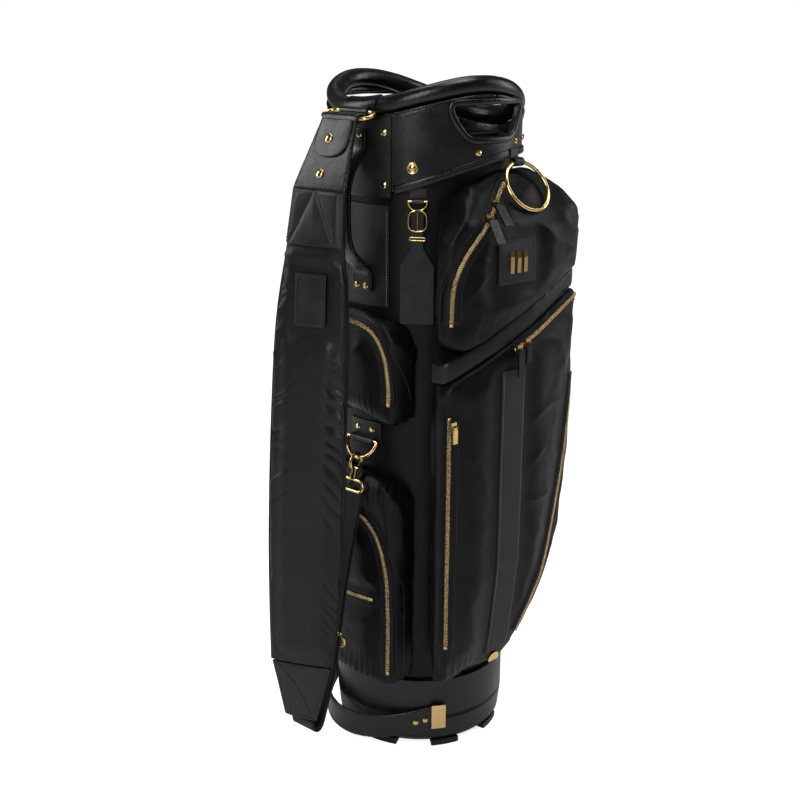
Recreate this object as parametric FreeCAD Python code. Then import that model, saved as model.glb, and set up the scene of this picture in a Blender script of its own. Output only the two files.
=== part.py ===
"""Standing cart golf bag: tube body on a moulded boot, padded collar, pockets, straps and fittings.

Frame: +Z up, origin at the centre of the footprint, on the ground. The big pockets face -Y and the
spine, with the grab handle and the shoulder strap, faces -X. Millimetres throughout. Angles around
the bag are measured in degrees from the front (-Y) towards the spine (-X).
"""
import FreeCAD
import Part
import math
import os

V = FreeCAD.Vector

# ---- driving dimensions ------------------------------------------------------------------------
GAP = 0.3                    # clearance between pieces that touch in use
BODY_RADIUS = 108.0          # outside of the stiff tube
BODY_WALL = 3.0
SKIN_THICK = 1.5             # fabric over the tube
SKIN_GAP = 0.2
COLLAR_WALL = 10.0
COLLAR_RADIUS = BODY_RADIUS + SKIN_GAP + SKIN_THICK + GAP + COLLAR_WALL
RIM_HEIGHT_MID = 854.0       # mean height of the rim's top; the upper fittings hang from it
RIM_WAVE = 18.0              # the rim rises at front and back
RIM_TILT = -8.0              # and a little at the spine
COLLAR_HEIGHT_MID = RIM_HEIGHT_MID - 92.0    # mean height of the collar's lower edge
COLLAR_EDGE_WAVE = 11.0
COLLAR_EDGE_TILT = 21.0      # the lower edge drops towards the spine
ROLL_RADIUS = 11.0
TUBE_TOP = RIM_HEIGHT_MID - 59.0
TALL = RIM_HEIGHT_MID + 100.0                # above everything, for cutting forms

BOOT_WALL = 5.7
BOOT_CLEAR = 0.3
BOOT_RADIUS = BODY_RADIUS + BOOT_CLEAR + BOOT_WALL
BOOT_HEIGHT = 100.0
BOOT_FLOOR = 12.0
FOOT_HEIGHT = 8.0
FOOT_COUNT = 8
FOOT_SPAN = 20.0
FOOT_FIRST = 23.0
FOOT_CENTRE_RADIUS = 18.0

DIVIDER_BAR = 12.0
DIVIDER_DEPTH = 26.0
DIVIDER_RIM = 6.0
DIVIDER_TOP = TUBE_TOP + 2.0
DIVIDER_FRONT_BAR = -30.0    # y of the two cross bars
DIVIDER_BACK_BAR = 35.0
PANEL_THICK = 2.0
STAY_RADIUS = 4.0

HATCH_HALF_TOP = 56.0        # hand holes through the collar, front and back
HATCH_HALF_FOOT = 34.0
HATCH_LOW = RIM_HEIGHT_MID - 54.0
HATCH_HIGH = HATCH_LOW + 42.0
HATCH_TRIM = 4.0

LEATHER = 2.0
RIVET_RADIUS = 4.0
RIVET_HEIGHT = 2.0
RIVET_SIDES = 18
ZIP_WIDTH = 6.0
ZIP_THICK = 1.2

FRONT_DEPTH = BODY_RADIUS + 60.0             # front pockets: distance of the face from the axis
FRONT_LEFT = 8.0 - BODY_RADIUS
FRONT_RIGHT = BODY_RADIUS + 22.0
FRONT_LOW = 122.0
SEAM_LEFT = RIM_HEIGHT_MID - 334.0           # height of the slanting seam between the two front pockets
SEAM_RIGHT = SEAM_LEFT + 97.0
UPPER_TOP = RIM_HEIGHT_MID - 87.0
STRIP_WIDTH = 38.0

SIDE_DEPTH = BODY_RADIUS + 24.0              # spine-side pockets
SIDE_HALF_WIDTH = 80.0
SIDE_LOW = 102.0
SIDE_LOWER_TOP = RIM_HEIGHT_MID - 456.0
SIDE_UPPER_LOW = RIM_HEIGHT_MID - 402.0
SIDE_UPPER_TOP = SIDE_UPPER_LOW + 146.0

FAR_DEPTH = BODY_RADIUS + 24.0               # long pocket on the far side (+X)
FAR_LOW = 140.0
FAR_TOP = RIM_HEIGHT_MID - 214.0
FAR_HALF_WIDTH = 62.0

GRAB_WIDTH = 30.0
GRAB_THICK = 5.0
GRAB_BOW = 27.0
GRAB_TOP = RIM_HEIGHT_MID - 42.0
GRAB_LOW = GRAB_TOP - 194.0

BELT_HEIGHT = 32.0
BELT_THICK = 4.0
BELT_BULGE = 20.0
BELT_FROM = 30.0             # angles of its two ends
BELT_TO = 156.0
BELT_END_Z = 50.0
BELT_TILT = 14.0             # the belt hangs lower at the spine side
CLASP_HEIGHT = 34.0

SPINE_ANGLE = 82.0           # direction of the spine's centre line
PATCH_FROM = 61.0
PATCH_TO = 103.0
PATCH_LOW = RIM_HEIGHT_MID - 254.0
ANCHOR_WIDTH = 48.0
STUD_ANGLES = (49.0, 11.0, -22.0, -40.0, 131.0, 169.0, 202.0, 229.0)
STUD_RISES = (24.0, 17.0, 17.0, 19.0, 24.0, 17.0, 17.0, 24.0)
TAG_ANGLE = 46.0
TOWEL_ANGLE = -20.0
BACK_LOOP_Z = 330.0
BAND_WIDTH = 26.0
ZIP_LEFT_X = FRONT_LEFT + 8.0
ZIP_LEFT_TOP = SEAM_LEFT - 38.0
TOP_PULL_X = 4.0
TOWEL_Z = UPPER_TOP + 4.0
TOWEL_LEAN = 33.0
TAG_Z = RIM_HEIGHT_MID - 124.0
TAG_WIRE = 1.5
TAG_RING_RADIUS = 11.0
TAG_WIDTH = 40.0
TAG_HEIGHT = 90.0
TAG_FOOT = TAG_Z - 147.0
TAG_THICK = 3.0

RING_WIRE = 2.2              # wire radius of the strap ring and the D-ring
RING_LENGTH = 74.0
RING_DEPTH = 22.0            # between the strap ring's two bars
RING_DROP = 18.0
TOWEL_RING_RADIUS = 32.0
TOWEL_WIRE = 2.4
STRAP_TOP_WIDTH = 62.0
STRAP_PAD_WIDTH = 94.0
STRAP_PAD_THICK = 14.0
WEB_WIDTH = 38.0
WEB_THICK = 2.5
STRAP_OFF_TOP = 80.0         # the strap hangs loose, clear of the pockets
STRAP_OFF_LOW = 118.0
STRAP_LEATHER_END = RIM_HEIGHT_MID - 109.0
STRAP_PAD_END = 155.0
D_RING_Z = SIDE_LOWER_TOP + 30.0
D_RING_RADIUS = 24.0
D_RING_SWING = 25.0
HOOK_LEAN = 17.0
HOOK_RADIUS = 10.0
HOOK_WIRE = 2.0
HOOK_BASE = 5.0
HOOK_BARREL = 7.0
SWIVEL_RADIUS = 1.8
SWIVEL_CLEAR = 0.08
GATE_TIP = 0.0               # angles on the hook's bend
GATE_PIVOT = -66.0

PULL_LENGTH = 30.0
PULL_WIDTH = 9.0
PULL_THICK = 2.5
SLIDER_LENGTH = 12.0
SLIDER_WIDTH = 8.0
SLIDER_HEIGHT = 4.0

skin_radius = BODY_RADIUS + SKIN_GAP + SKIN_THICK
collar_inner = skin_radius + GAP
well_radius = BODY_RADIUS - BODY_WALL
body_clear = skin_radius + GAP
shapes = {}
strap_metal = []
pivots = {}                  # joint positions, printed at the end


# ---- helpers -----------------------------------------------------------------------------------
def keep(name, *solids):
    """Store one node; several separate solids become one compound."""
    shapes[name] = solids[0] if len(solids) == 1 else Part.makeCompound(list(solids))


def polar(angle, radius, z):
    """Point at an angle from the front towards the spine."""
    a = math.radians(angle)
    return V(-radius * math.sin(a), -radius * math.cos(a), z)


def ring(inner, outer, low, high):
    tube = Part.makeCylinder(outer, high - low, V(0, 0, low))
    return tube.cut(Part.makeCylinder(inner, high - low + 2, V(0, 0, low - 1)))


def block(low, high):
    return Part.makeBox(high[0] - low[0], high[1] - low[1], high[2] - low[2], V(*low))


def prism(points, direction):
    """Extrude a closed polygon of 3-D points."""
    face = Part.Face(Part.makePolygon(points + [points[0]]))
    return face.extrude(direction)


def prism_front(points, near, far):
    """Polygon of (x, z) run along Y from near to far."""
    return prism([V(x, near, z) for x, z in points], V(0, far - near, 0))


def prism_side(points, near, far):
    """Polygon of (y, z) run along X from near to far."""
    return prism([V(near, y, z) for y, z in points], V(far - near, 0, 0))


def prism_plan(points, low, high):
    """Polygon of (x, y) run along Z from low to high."""
    return prism([V(x, y, low) for x, y in points], V(0, 0, high - low))


def sector(angle_from, angle_to, reach=400.0, low=-10.0, high=1000.0):
    """Wedge around the axis between two angles, for trimming rings."""
    steps = 6
    span = angle_to - angle_from
    rim = [polar(angle_from + span * i / steps, reach, 0) for i in range(steps + 1)]
    return prism_plan([(0, 0)] + [(p.x, p.y) for p in rim], low, high)


def under(height, wave, tilt, half=200.0):
    """Everything below the saddle z = height + tilt x/R + wave (y^2 - x^2)/R^2."""
    r = COLLAR_RADIUS
    line = (-half, 0.0, half)
    square = (half * half, -half * half, half * half)
    surface = Part.BezierSurface()
    surface.increase(2, 2)
    for i in range(3):
        for j in range(3):
            z = height + tilt * line[i] / r + wave * (square[j] - square[i]) / r ** 2
            surface.setPole(i + 1, j + 1, V(line[i], line[j], z))
    return surface.toShape().extrude(V(0, 0, -TALL))


def under_rim(drop):
    return under(RIM_HEIGHT_MID - drop, RIM_WAVE, RIM_TILT)


def under_edge(rise):
    return under(COLLAR_HEIGHT_MID + rise, COLLAR_EDGE_WAVE, COLLAR_EDGE_TILT)


def rim_z(angle, drop=0.0):
    a = math.radians(angle)
    return RIM_HEIGHT_MID - drop + RIM_WAVE * math.cos(2 * a) - RIM_TILT * math.sin(a)


def edge_z(angle):
    a = math.radians(angle)
    return COLLAR_HEIGHT_MID + COLLAR_EDGE_WAVE * math.cos(2 * a) - COLLAR_EDGE_TILT * math.sin(a)


def band(points, thickness):
    """Outline of a bent band: a centre line of (a, b) points given a thickness."""
    left, right = [], []
    for i, (a, b) in enumerate(points):
        before = points[max(i - 1, 0)]
        after = points[min(i + 1, len(points) - 1)]
        da, db = after[0] - before[0], after[1] - before[1]
        size = math.hypot(da, db)
        na, nb = -db / size * thickness / 2, da / size * thickness / 2
        left.append((a + na, b + nb))
        right.append((a - na, b - nb))
    return left + right[::-1]


def curve_points(controls, count):
    """Points along a smooth curve through a few (a, b) controls."""
    curve = Part.BSplineCurve()
    curve.interpolate([V(a, b, 0) for a, b in controls])
    first, last = curve.FirstParameter, curve.LastParameter
    found = [curve.value(first + (last - first) * i / count) for i in range(count + 1)]
    return [(p.x, p.y) for p in found]


def rivet(place, outward):
    """Low domed rivet head with many small flats, standing on a surface."""
    across = outward.cross(V(0, 0, 1)).normalize()
    along = outward.cross(across)
    rings = []
    for wide, rise in ((1.0, 0.0), (1.0, 0.3), (0.84, 0.72), (0.5, 1.0)):
        corners = []
        for k in range(RIVET_SIDES):
            turn = 2 * math.pi * k / RIVET_SIDES
            reach = RIVET_RADIUS * wide
            corners.append(place + outward * (RIVET_HEIGHT * rise) + across * (reach * math.cos(turn))
                           + along * (reach * math.sin(turn)))
        rings.append(Part.makePolygon(corners + corners[:1]))
    return Part.makeLoft(rings, True, True)


def radial(angle):
    return polar(angle, 1.0, 0)


def half_torus(radius, wire):
    """Half ring in the XY plane on the +Y side."""
    return Part.makeTorus(radius, wire, V(0, 0, 0), V(0, 0, 1), -180, 180, 180)


def stadium_ring(width, depth, wire):
    """Flat ring with round ends in the XY plane, centred, long side along Y."""
    end = depth / 2
    straight = width - depth
    parts = []
    for side in (-1, 1):
        parts.append(Part.makeCylinder(wire, straight, V(side * end, -straight / 2, 0), V(0, 1, 0)))
        bend = half_torus(end, wire)
        bend.rotate(V(0, 0, 0), V(0, 0, 1), 90 - 90 * side)
        bend.translate(V(0, side * straight / 2, 0))
        parts.append(bend)
    return parts[0].fuse(parts[1:])


def d_ring(radius, wire):
    """D-shaped ring in the YZ plane: straight bar along Y through the origin, bow downwards."""
    bow = half_torus(radius, wire)
    bow.rotate(V(0, 0, 0), V(1, 0, 0), -90)
    bow.rotate(V(0, 0, 0), V(0, 0, 1), 90)
    bar = Part.makeCylinder(wire, 2 * radius, V(0, -radius, 0), V(0, 1, 0))
    corners = [Part.makeSphere(wire, V(0, side * radius, 0)) for side in (-1, 1)]
    return bar.fuse(corners + [bow])


def rounded(points, radii):
    """Closed wire through 3-D points in one plane, each corner rounded to its own radius."""
    count = len(points)
    entries, exits, arcs = [], [], []
    for i, corner in enumerate(points):
        before = (points[i - 1] - corner).normalize()
        after = (points[(i + 1) % count] - corner).normalize()
        half = before.getAngle(after) / 2
        reach = radii[i] / math.tan(half) if radii[i] else 0.0
        entries.append(corner + before * reach)
        exits.append(corner + after * reach)
        if radii[i]:
            inward = (before + after).normalize()
            middle = corner + inward * (radii[i] / math.sin(half) - radii[i])
            arcs.append(Part.Arc(entries[i], middle, exits[i]).toShape())
        else:
            arcs.append(None)
    edges = []
    for i in range(count):
        if arcs[i]:
            edges.append(arcs[i])
        following = entries[(i + 1) % count]
        if exits[i].distanceToPoint(following) > 0.001:
            edges.append(Part.LineSegment(exits[i], following).toShape())
    return Part.Wire(Part.__sortEdges__(edges))


def rounded_front(points, radii, near, far):
    wire = rounded([V(x, near, z) for x, z in points], radii)
    return Part.Face(wire).extrude(V(0, far - near, 0))


def rounded_side(points, radii, near, far):
    wire = rounded([V(near, y, z) for y, z in points], radii)
    return Part.Face(wire).extrude(V(far - near, 0, 0))


def rounded_plan(points, radii, low, high):
    wire = rounded([V(x, y, low) for x, y in points], radii)
    return Part.Face(wire).extrude(V(0, 0, high - low))


def moved(shape, dx, dy, dz):
    copy = shape.copy()
    copy.translate(V(dx, dy, dz))
    return copy


def face_point(form, place, inward):
    """Where a straight line from a place outside first meets a solid."""
    line = Part.makeLine(place, place + inward * 400)
    hits = line.common(form).Vertexes
    return min((v.Point for v in hits), key=lambda p: p.distanceToPoint(place))


def skin_on(form, outline, outward, thick, lift=0.0):
    """A thin layer lying on a form where an outline prism crosses it."""
    outer = moved(form, *(outward * (thick + lift)))
    inner = moved(form, *(outward * lift)) if lift else form
    return outline.common(outer).cut(inner)


def biggest(shape):
    return max(shape.Solids, key=lambda solid: solid.Volume)


# ---- boot, tube and dividers -------------------------------------------------------------------
def make_boot():
    inside = BODY_RADIUS + BOOT_CLEAR
    outline = [
        (0, FOOT_HEIGHT), (BOOT_RADIUS - 8, FOOT_HEIGHT), (BOOT_RADIUS - 3, FOOT_HEIGHT + 6),
        (BOOT_RADIUS, FOOT_HEIGHT + 34), (BOOT_RADIUS - 1.5, FOOT_HEIGHT + 37),
        (BOOT_RADIUS, FOOT_HEIGHT + 40), (BOOT_RADIUS, BOOT_HEIGHT), (inside, BOOT_HEIGHT),
        (inside, FOOT_HEIGHT + BOOT_FLOOR), (0, FOOT_HEIGHT + BOOT_FLOOR)]
    wire = Part.makePolygon([V(r, 0, z) for r, z in outline + outline[:1]])
    keep("base_boot", Part.Face(wire).revolve(V(0, 0, 0), V(0, 0, 1), 360))

    feet = []
    step = 360.0 / FOOT_COUNT
    tread = ring(BOOT_RADIUS - 24, BOOT_RADIUS - 4, 0, FOOT_HEIGHT)
    for i in range(FOOT_COUNT):
        middle = FOOT_FIRST + i * step
        feet.append(tread.common(sector(middle - FOOT_SPAN / 2, middle + FOOT_SPAN / 2)))
    feet.append(Part.makeCylinder(FOOT_CENTRE_RADIUS, FOOT_HEIGHT))
    keep("base_feet", *feet)


def make_tube():
    floor = FOOT_HEIGHT + BOOT_FLOOR
    keep("body_tube", ring(well_radius, BODY_RADIUS, floor, TUBE_TOP))
    skin = ring(BODY_RADIUS + SKIN_GAP, skin_radius, BOOT_HEIGHT + GAP, COLLAR_HEIGHT_MID + 40)
    keep("body_skin", biggest(skin.common(under_edge(6.0))))
    keep("floor_pad", Part.makeCylinder(well_radius - GAP, 3.0, V(0, 0, floor)))

    stays = []
    for side in (-1, 1):
        x = side * (well_radius - STAY_RADIUS - GAP)
        low = floor + 3.0 + GAP
        stays.append(Part.makeCylinder(STAY_RADIUS, DIVIDER_TOP - DIVIDER_DEPTH - low - GAP, V(x, 0, low)))
    keep("stay_rods", *stays)


def make_dividers():
    low = DIVIDER_TOP - DIVIDER_DEPTH
    outer = well_radius - GAP
    grid = ring(outer - DIVIDER_RIM, outer, low, DIVIDER_TOP)
    inside = Part.makeCylinder(outer - 1, DIVIDER_DEPTH, V(0, 0, low))
    half = DIVIDER_BAR / 2
    bars = [
        block((-200, DIVIDER_FRONT_BAR - half, low), (200, DIVIDER_FRONT_BAR + half, DIVIDER_TOP)),
        block((-200, DIVIDER_BACK_BAR - half, low), (200, DIVIDER_BACK_BAR + half, DIVIDER_TOP)),
        block((-half, -200, low), (half, DIVIDER_FRONT_BAR, DIVIDER_TOP)),
        block((-half, DIVIDER_BACK_BAR, low), (half, 200, DIVIDER_TOP))]
    for bar in bars:
        grid = grid.fuse(bar.common(inside))
    keep("divider_top", grid.removeSplitter())

    bottom = FOOT_HEIGHT + BOOT_FLOOR + 3.0 + GAP
    top = low - GAP
    room = Part.makeCylinder(well_radius - GAP, top - bottom, V(0, 0, bottom))
    thin = PANEL_THICK / 2
    front, back = DIVIDER_FRONT_BAR, DIVIDER_BACK_BAR
    cross_front = block((-200, front - thin, bottom), (200, front + thin, top)).common(room)
    cross_back = block((-200, back - thin, bottom), (200, back + thin, top)).common(room)
    split_front = block((-thin, -200, bottom), (thin, front - thin, top)).common(room)
    split_back = block((-thin, back + thin, bottom), (thin, 200, top)).common(room)
    keep("divider_panels", cross_front, cross_back, split_front, split_back)


# ---- collar ------------------------------------------------------------------------------------
def rim_sweep(radius):
    """Round roll that follows the waving rim."""
    path_radius = COLLAR_RADIUS + 1.5 - ROLL_RADIUS
    points = [polar(a, path_radius, rim_z(a, ROLL_RADIUS)) for a in range(0, 360, 15)]
    curve = Part.BSplineCurve()
    curve.interpolate(Points=points, PeriodicFlag=True)
    first, last = curve.FirstParameter, curve.LastParameter
    middle = (first + last) / 2
    halves = []
    for start, end in ((first, middle), (middle, last)):
        profile = Part.Wire(Part.Circle(curve.value(start), curve.tangent(start)[0], radius).toShape())
        path = Part.Wire(curve.toShape(start, end))
        halves.append(path.makePipeShell([profile], True, False))
    return halves[0].fuse(halves[1])


def hatch(grow, near, far):
    """Prism of the hand hole's outline, grown all round."""
    points = [
        (-HATCH_HALF_TOP - grow, HATCH_HIGH + grow), (HATCH_HALF_TOP + grow, HATCH_HIGH + grow),
        (HATCH_HALF_TOP - 4 + grow, HATCH_HIGH - 18), (HATCH_HALF_FOOT + grow, HATCH_LOW - grow),
        (-HATCH_HALF_FOOT - grow, HATCH_LOW - grow), (-HATCH_HALF_TOP + 4 - grow, HATCH_HIGH - 18)]
    return rounded_front(points, [5 + grow, 5 + grow, 14, 16 + grow, 16 + grow, 14], near, far)


def make_collar():
    foot = COLLAR_HEIGHT_MID - 60
    wall = ring(collar_inner, COLLAR_RADIUS, foot, TALL)
    shell = wall.common(under_rim(2 * ROLL_RADIUS - 2)).cut(under_edge(0.0))
    shell = biggest(shell.cut(rim_sweep(ROLL_RADIUS + 0.1)))
    holes = [hatch(0, -150, -80), hatch(0, 80, 150)]
    keep("collar_shell", shell.cut(holes[0]).cut(holes[1]))
    keep("rim_roll", rim_sweep(ROLL_RADIUS))

    trim_wall = ring(COLLAR_RADIUS + 0.1, COLLAR_RADIUS + 1.6, foot, TALL)
    trims = []
    for near, far in ((-150, -80), (80, 150)):
        edge = hatch(HATCH_TRIM, near, far).cut(hatch(0, near, far))
        trims.append(biggest(trim_wall.common(edge).common(under_rim(2 * ROLL_RADIUS + 1))))
    hem = ring(COLLAR_RADIUS + 0.1, COLLAR_RADIUS + 1.3, foot, TALL)
    hem = hem.common(under_edge(8.0)).cut(under_edge(0.0))
    for low, high in ((PATCH_FROM - 1, PATCH_TO + 1), (TOWEL_ANGLE - 7, TOWEL_ANGLE + 7)):
        hem = hem.cut(sector(low, high))
    keep("collar_trim", *(trims + hem.Solids))

    studs = []
    for angle, rise in zip(STUD_ANGLES, STUD_RISES):
        place = polar(angle, COLLAR_RADIUS + 0.1, edge_z(angle) + rise)
        studs.append(rivet(place, radial(angle)))
    keep("collar_studs", *studs)


# ---- spine: patches, grab handle, strap anchor --------------------------------------------------
def turned(shape):
    """Turn a piece built on the -X side to the spine's own angle."""
    copy = shape.copy()
    copy.rotate(V(0, 0, 0), V(0, 0, 1), 90 - SPINE_ANGLE)
    return copy


def spun(point, degrees):
    """A point turned about the vertical axis."""
    a = math.radians(degrees)
    x = point.x * math.cos(a) - point.y * math.sin(a)
    y = point.x * math.sin(a) + point.y * math.cos(a)
    return V(x, y, point.z)


def turned_point(point):
    return spun(point, 90 - SPINE_ANGLE)


def wrap(radius, thick, angle_from, angle_to, low, high):
    """Curved sheet lying on a cylinder between two angles and two heights."""
    return ring(radius, radius + thick, low, high).common(sector(angle_from, angle_to))


def make_patches():
    collar_face = COLLAR_RADIUS + 0.1
    bottom = edge_z(SPINE_ANGLE) + 3
    upper = wrap(collar_face, LEATHER, PATCH_FROM, PATCH_TO, bottom, TALL)
    upper = biggest(upper.common(under_rim(2 * ROLL_RADIUS + 3)))
    lower = wrap(skin_radius + 0.1, LEATHER, PATCH_FROM + 3, PATCH_TO - 3, PATCH_LOW, edge_z(SPINE_ANGLE) - 8)
    keep("spine_patches", upper, lower)

    over = rim_sweep(ROLL_RADIUS + GAP + LEATHER).cut(rim_sweep(ROLL_RADIUS + GAP))
    half = math.degrees(math.asin(ANCHOR_WIDTH / 2 / COLLAR_RADIUS))
    over = over.common(sector(SPINE_ANGLE - half, SPINE_ANGLE + half))
    over = biggest(over.cut(under_rim(ROLL_RADIUS + 5)))
    keep("strap_anchor", over.fuse(turned(ring_loop())))

    spots = []
    for angle in (PATCH_FROM + 4, PATCH_TO - 4):
        for z in (bottom + 14, bottom + 74):
            spots.append(rivet(polar(angle, collar_face + LEATHER + 0.1, z), radial(angle)))
    return spots


def ring_bar_place():
    """Centre of the strap ring's inner bar, before the spine's turn."""
    return V(-(COLLAR_RADIUS + 1.5 + LEATHER + GAP + RING_WIRE + 1.6), 0, rim_z(90, ROLL_RADIUS + 2))


def leather_loop(bar, inner, length, wall, root):
    """Leather loop round a bar that runs along Y, with a root block reaching towards the bag."""
    start = V(bar.x, -length / 2, bar.z)
    outer = inner + wall
    loop = Part.makeCylinder(outer, length, start, V(0, 1, 0))
    back = block((bar.x, -length / 2, bar.z - outer), (bar.x + outer + root, length / 2, bar.z + outer))
    return loop.fuse(back).cut(Part.makeCylinder(inner, length + 2, start - V(0, 1, 0), V(0, 1, 0)))


def ring_loop():
    return leather_loop(ring_bar_place(), RING_WIRE + GAP, ANCHOR_WIDTH - 6, LEATHER, 1.5)


def make_grab_handle():
    top_x = -(COLLAR_RADIUS + 0.1 + LEATHER + GAP + GRAB_THICK / 2)
    low_x = -(skin_radius + 0.1 + LEATHER + GAP + GRAB_THICK / 2)
    middle = (GRAB_TOP + GRAB_LOW) / 2
    end = 22.0
    bow = top_x - GRAB_BOW
    controls = [
        (top_x, GRAB_TOP), (top_x, GRAB_TOP - end), (bow + 6, middle + 45), (bow, middle),
        (bow + 8, middle - 45), (low_x, GRAB_LOW + end), (low_x, GRAB_LOW)]
    middle_line = []
    for x, z in curve_points(controls, 28):
        seat = top_x if z > middle + 30 else low_x
        middle_line.append((min(x, seat), z))
    outline = band(middle_line, GRAB_THICK)
    strip = prism_front(outline, -GRAB_WIDTH / 2, GRAB_WIDTH / 2)
    keep("grab_handle", turned(strip))

    heads = []
    for x, z in ((top_x, GRAB_TOP - 7), (low_x, GRAB_LOW + 7)):
        for y in (-7, 7):
            place = V(x - GRAB_THICK / 2 - 0.1, y, z)
            heads.append(turned(rivet(place, V(-1, 0, 0))))
    return heads


# ---- pockets -----------------------------------------------------------------------------------
def plan_front(depth):
    """Plan outline shared by the front pockets."""
    side_y = 37 - depth
    root = polar(30.5, BODY_RADIUS - 17, 0)
    far_root = polar(-64.5, BODY_RADIUS - 15, 0)
    points = [
        (root.x, root.y), (FRONT_LEFT, side_y), (FRONT_LEFT + 6, -depth + 16), (0, -depth - 3),
        (FRONT_RIGHT - 6, -depth + 18), (FRONT_RIGHT, side_y), (far_root.x, far_root.y)]
    face_bend = 1.6 * (FRONT_RIGHT - FRONT_LEFT)
    return rounded_plan(points, [0, 10, 12, face_bend, 12, 10, 0], 60, TALL)


def seam_z(x, offset):
    share = (x - FRONT_LEFT) / (FRONT_RIGHT - FRONT_LEFT)
    return SEAM_LEFT + (SEAM_RIGHT - SEAM_LEFT) * share + offset


def make_front_pockets():
    left, right = FRONT_LEFT - 1, FRONT_RIGHT + 1
    wide = right - left
    core = Part.makeCylinder(body_clear, TALL)
    collar_room = Part.makeCylinder(COLLAR_RADIUS + 2, TALL, V(0, 0, COLLAR_HEIGHT_MID - 60))
    collar_room = collar_room.cut(under_edge(-GAP))
    plan = plan_front(FRONT_DEPTH)

    lower_front = rounded_front(
        [(left, FRONT_LOW), (left, seam_z(left, 0)), (right, seam_z(right, 0)), (right, SEAM_RIGHT - 117),
         (FRONT_RIGHT - 20, FRONT_LOW + 168), (24, FRONT_LOW + 8)],
        [12, 34, 12, 60, 16, 24], -220, -30)
    face = -BODY_RADIUS
    lower_side = rounded_side(
        [(-20, FRONT_LOW - 27), (face - 26, FRONT_LOW - 18), (face - 44, FRONT_LOW + 48),
         (face - 62, FRONT_LOW + 208), (face - 58, SEAM_LEFT), (face - 52, SEAM_LEFT + 160),
         (-20, SEAM_LEFT + 160)],
        [0, 16, 260, 420, 300, 0, 0], -200, 200)
    lower = plan.common(lower_front).common(lower_side).cut(core)
    keep("front_pocket_lower", biggest(lower))

    upper_front = rounded_front(
        [(left, seam_z(left, BAND_WIDTH)), (left, UPPER_TOP - 77), (left + 0.25 * wide, UPPER_TOP - 15),
         (left + 0.48 * wide, UPPER_TOP), (right - 0.3 * wide, UPPER_TOP), (right - 19, UPPER_TOP - 29),
         (right - 4, UPPER_TOP - 87), (right - 4, seam_z(right - 4, BAND_WIDTH))],
        [30, 60, 60, 40, 60, 60, 60, 10], -220, -30)
    upper_side = rounded_side(
        [(-20, SEAM_LEFT - 40), (face - 58, SEAM_LEFT - 40), (face - 61, UPPER_TOP - 127),
         (face - 50, UPPER_TOP - 59), (face - 4, UPPER_TOP - 3), (-20, UPPER_TOP - 3)],
        [0, 0, 300, 50, 0, 0], -200, 200)
    upper = plan.common(upper_front).common(upper_side).cut(core).cut(collar_room)
    keep("front_pocket_upper", biggest(upper))

    slack = GAP
    band_front = prism_front(
        [(left, seam_z(left, slack)), (left, seam_z(left, BAND_WIDTH - slack)),
         (right - 4, seam_z(right - 4, BAND_WIDTH - slack)), (right - 4, seam_z(right - 4, slack))], -220, -30)
    between = plan_front(FRONT_DEPTH - 6).common(band_front).common(moved(lower_side, 0, 6, 0))
    keep("front_band", biggest(between.cut(core)))
    return lower, upper


def top_zip_z(x):
    return seam_z(x, -9)


def stroke_front(controls, width, count=24, near=-220, far=-60):
    return prism_front(band(curve_points(controls, count), width), near, far)


def stroke_side(controls, width, count=24, near=-200, far=-60):
    return prism_side(band(curve_points(controls, count), width), near, far)


def make_front_trim(lower, upper):
    front = V(0, -1, 0)
    half = STRIP_WIDTH / 2
    left, right = FRONT_LEFT, FRONT_RIGHT
    strip = prism_front(
        [(-half, FRONT_LOW + 22), (half, FRONT_LOW + 22), (half, SEAM_LEFT + 18), (-half, SEAM_LEFT + 2)],
        -220, -60)
    keep("front_strip", biggest(skin_on(lower, strip, front, LEATHER, 0.1)))

    plate_z = FRONT_LOW + 11
    plate = Part.makeCylinder(9, 200, V(0, -220, plate_z), V(0, 1, 0))
    plate = biggest(skin_on(lower, plate, front, 3.0, 0.1))

    zips = {
        "zips_front_lower": (lower, [
            [(ZIP_LEFT_X, FRONT_LOW + 60), (ZIP_LEFT_X, FRONT_LOW + 208), (ZIP_LEFT_X, ZIP_LEFT_TOP)],
            [(right - 6, SEAM_RIGHT - 117), (right - 22, SEAM_RIGHT - 227), (right - 54, FRONT_LOW + 140),
             (34, FRONT_LOW + 43)],
            [(2, top_zip_z(2)), (60, top_zip_z(60)), (right - 10, top_zip_z(right - 10))]]),
        "zip_upper": (upper, [
            [(12, UPPER_TOP - 19), (-22, UPPER_TOP - 43), (left + 36, UPPER_TOP - 77),
             (left + 12, UPPER_TOP - 117), (left + 8, UPPER_TOP - 171)]])}
    for name, (form, runs) in zips.items():
        chains = []
        for controls in runs:
            stroke = stroke_front(controls, ZIP_WIDTH)
            chains.append(biggest(skin_on(form, stroke, front, ZIP_THICK, 0.1)))
        keep(name, *chains)

    emblem = UPPER_TOP - 105
    low, high = emblem - 26, emblem + 26
    patch = prism_front([(-31, low), (31, low), (31, high), (-31, high)], -220, -60)
    keep("emblem_patch", biggest(skin_on(upper, patch, front, 1.5, 0.1)))
    bars = []
    for i in range(3):
        x = -14 + 11 * i
        low, high = emblem - 13, emblem + 13
        bar = prism_front([(x, low), (x + 6, low), (x + 6, high), (x, high)], -220, -60)
        bars.append(biggest(skin_on(upper, bar, front, 1.6, 1.7)))
    keep("front_badges", *(bars + [plate]))


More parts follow.
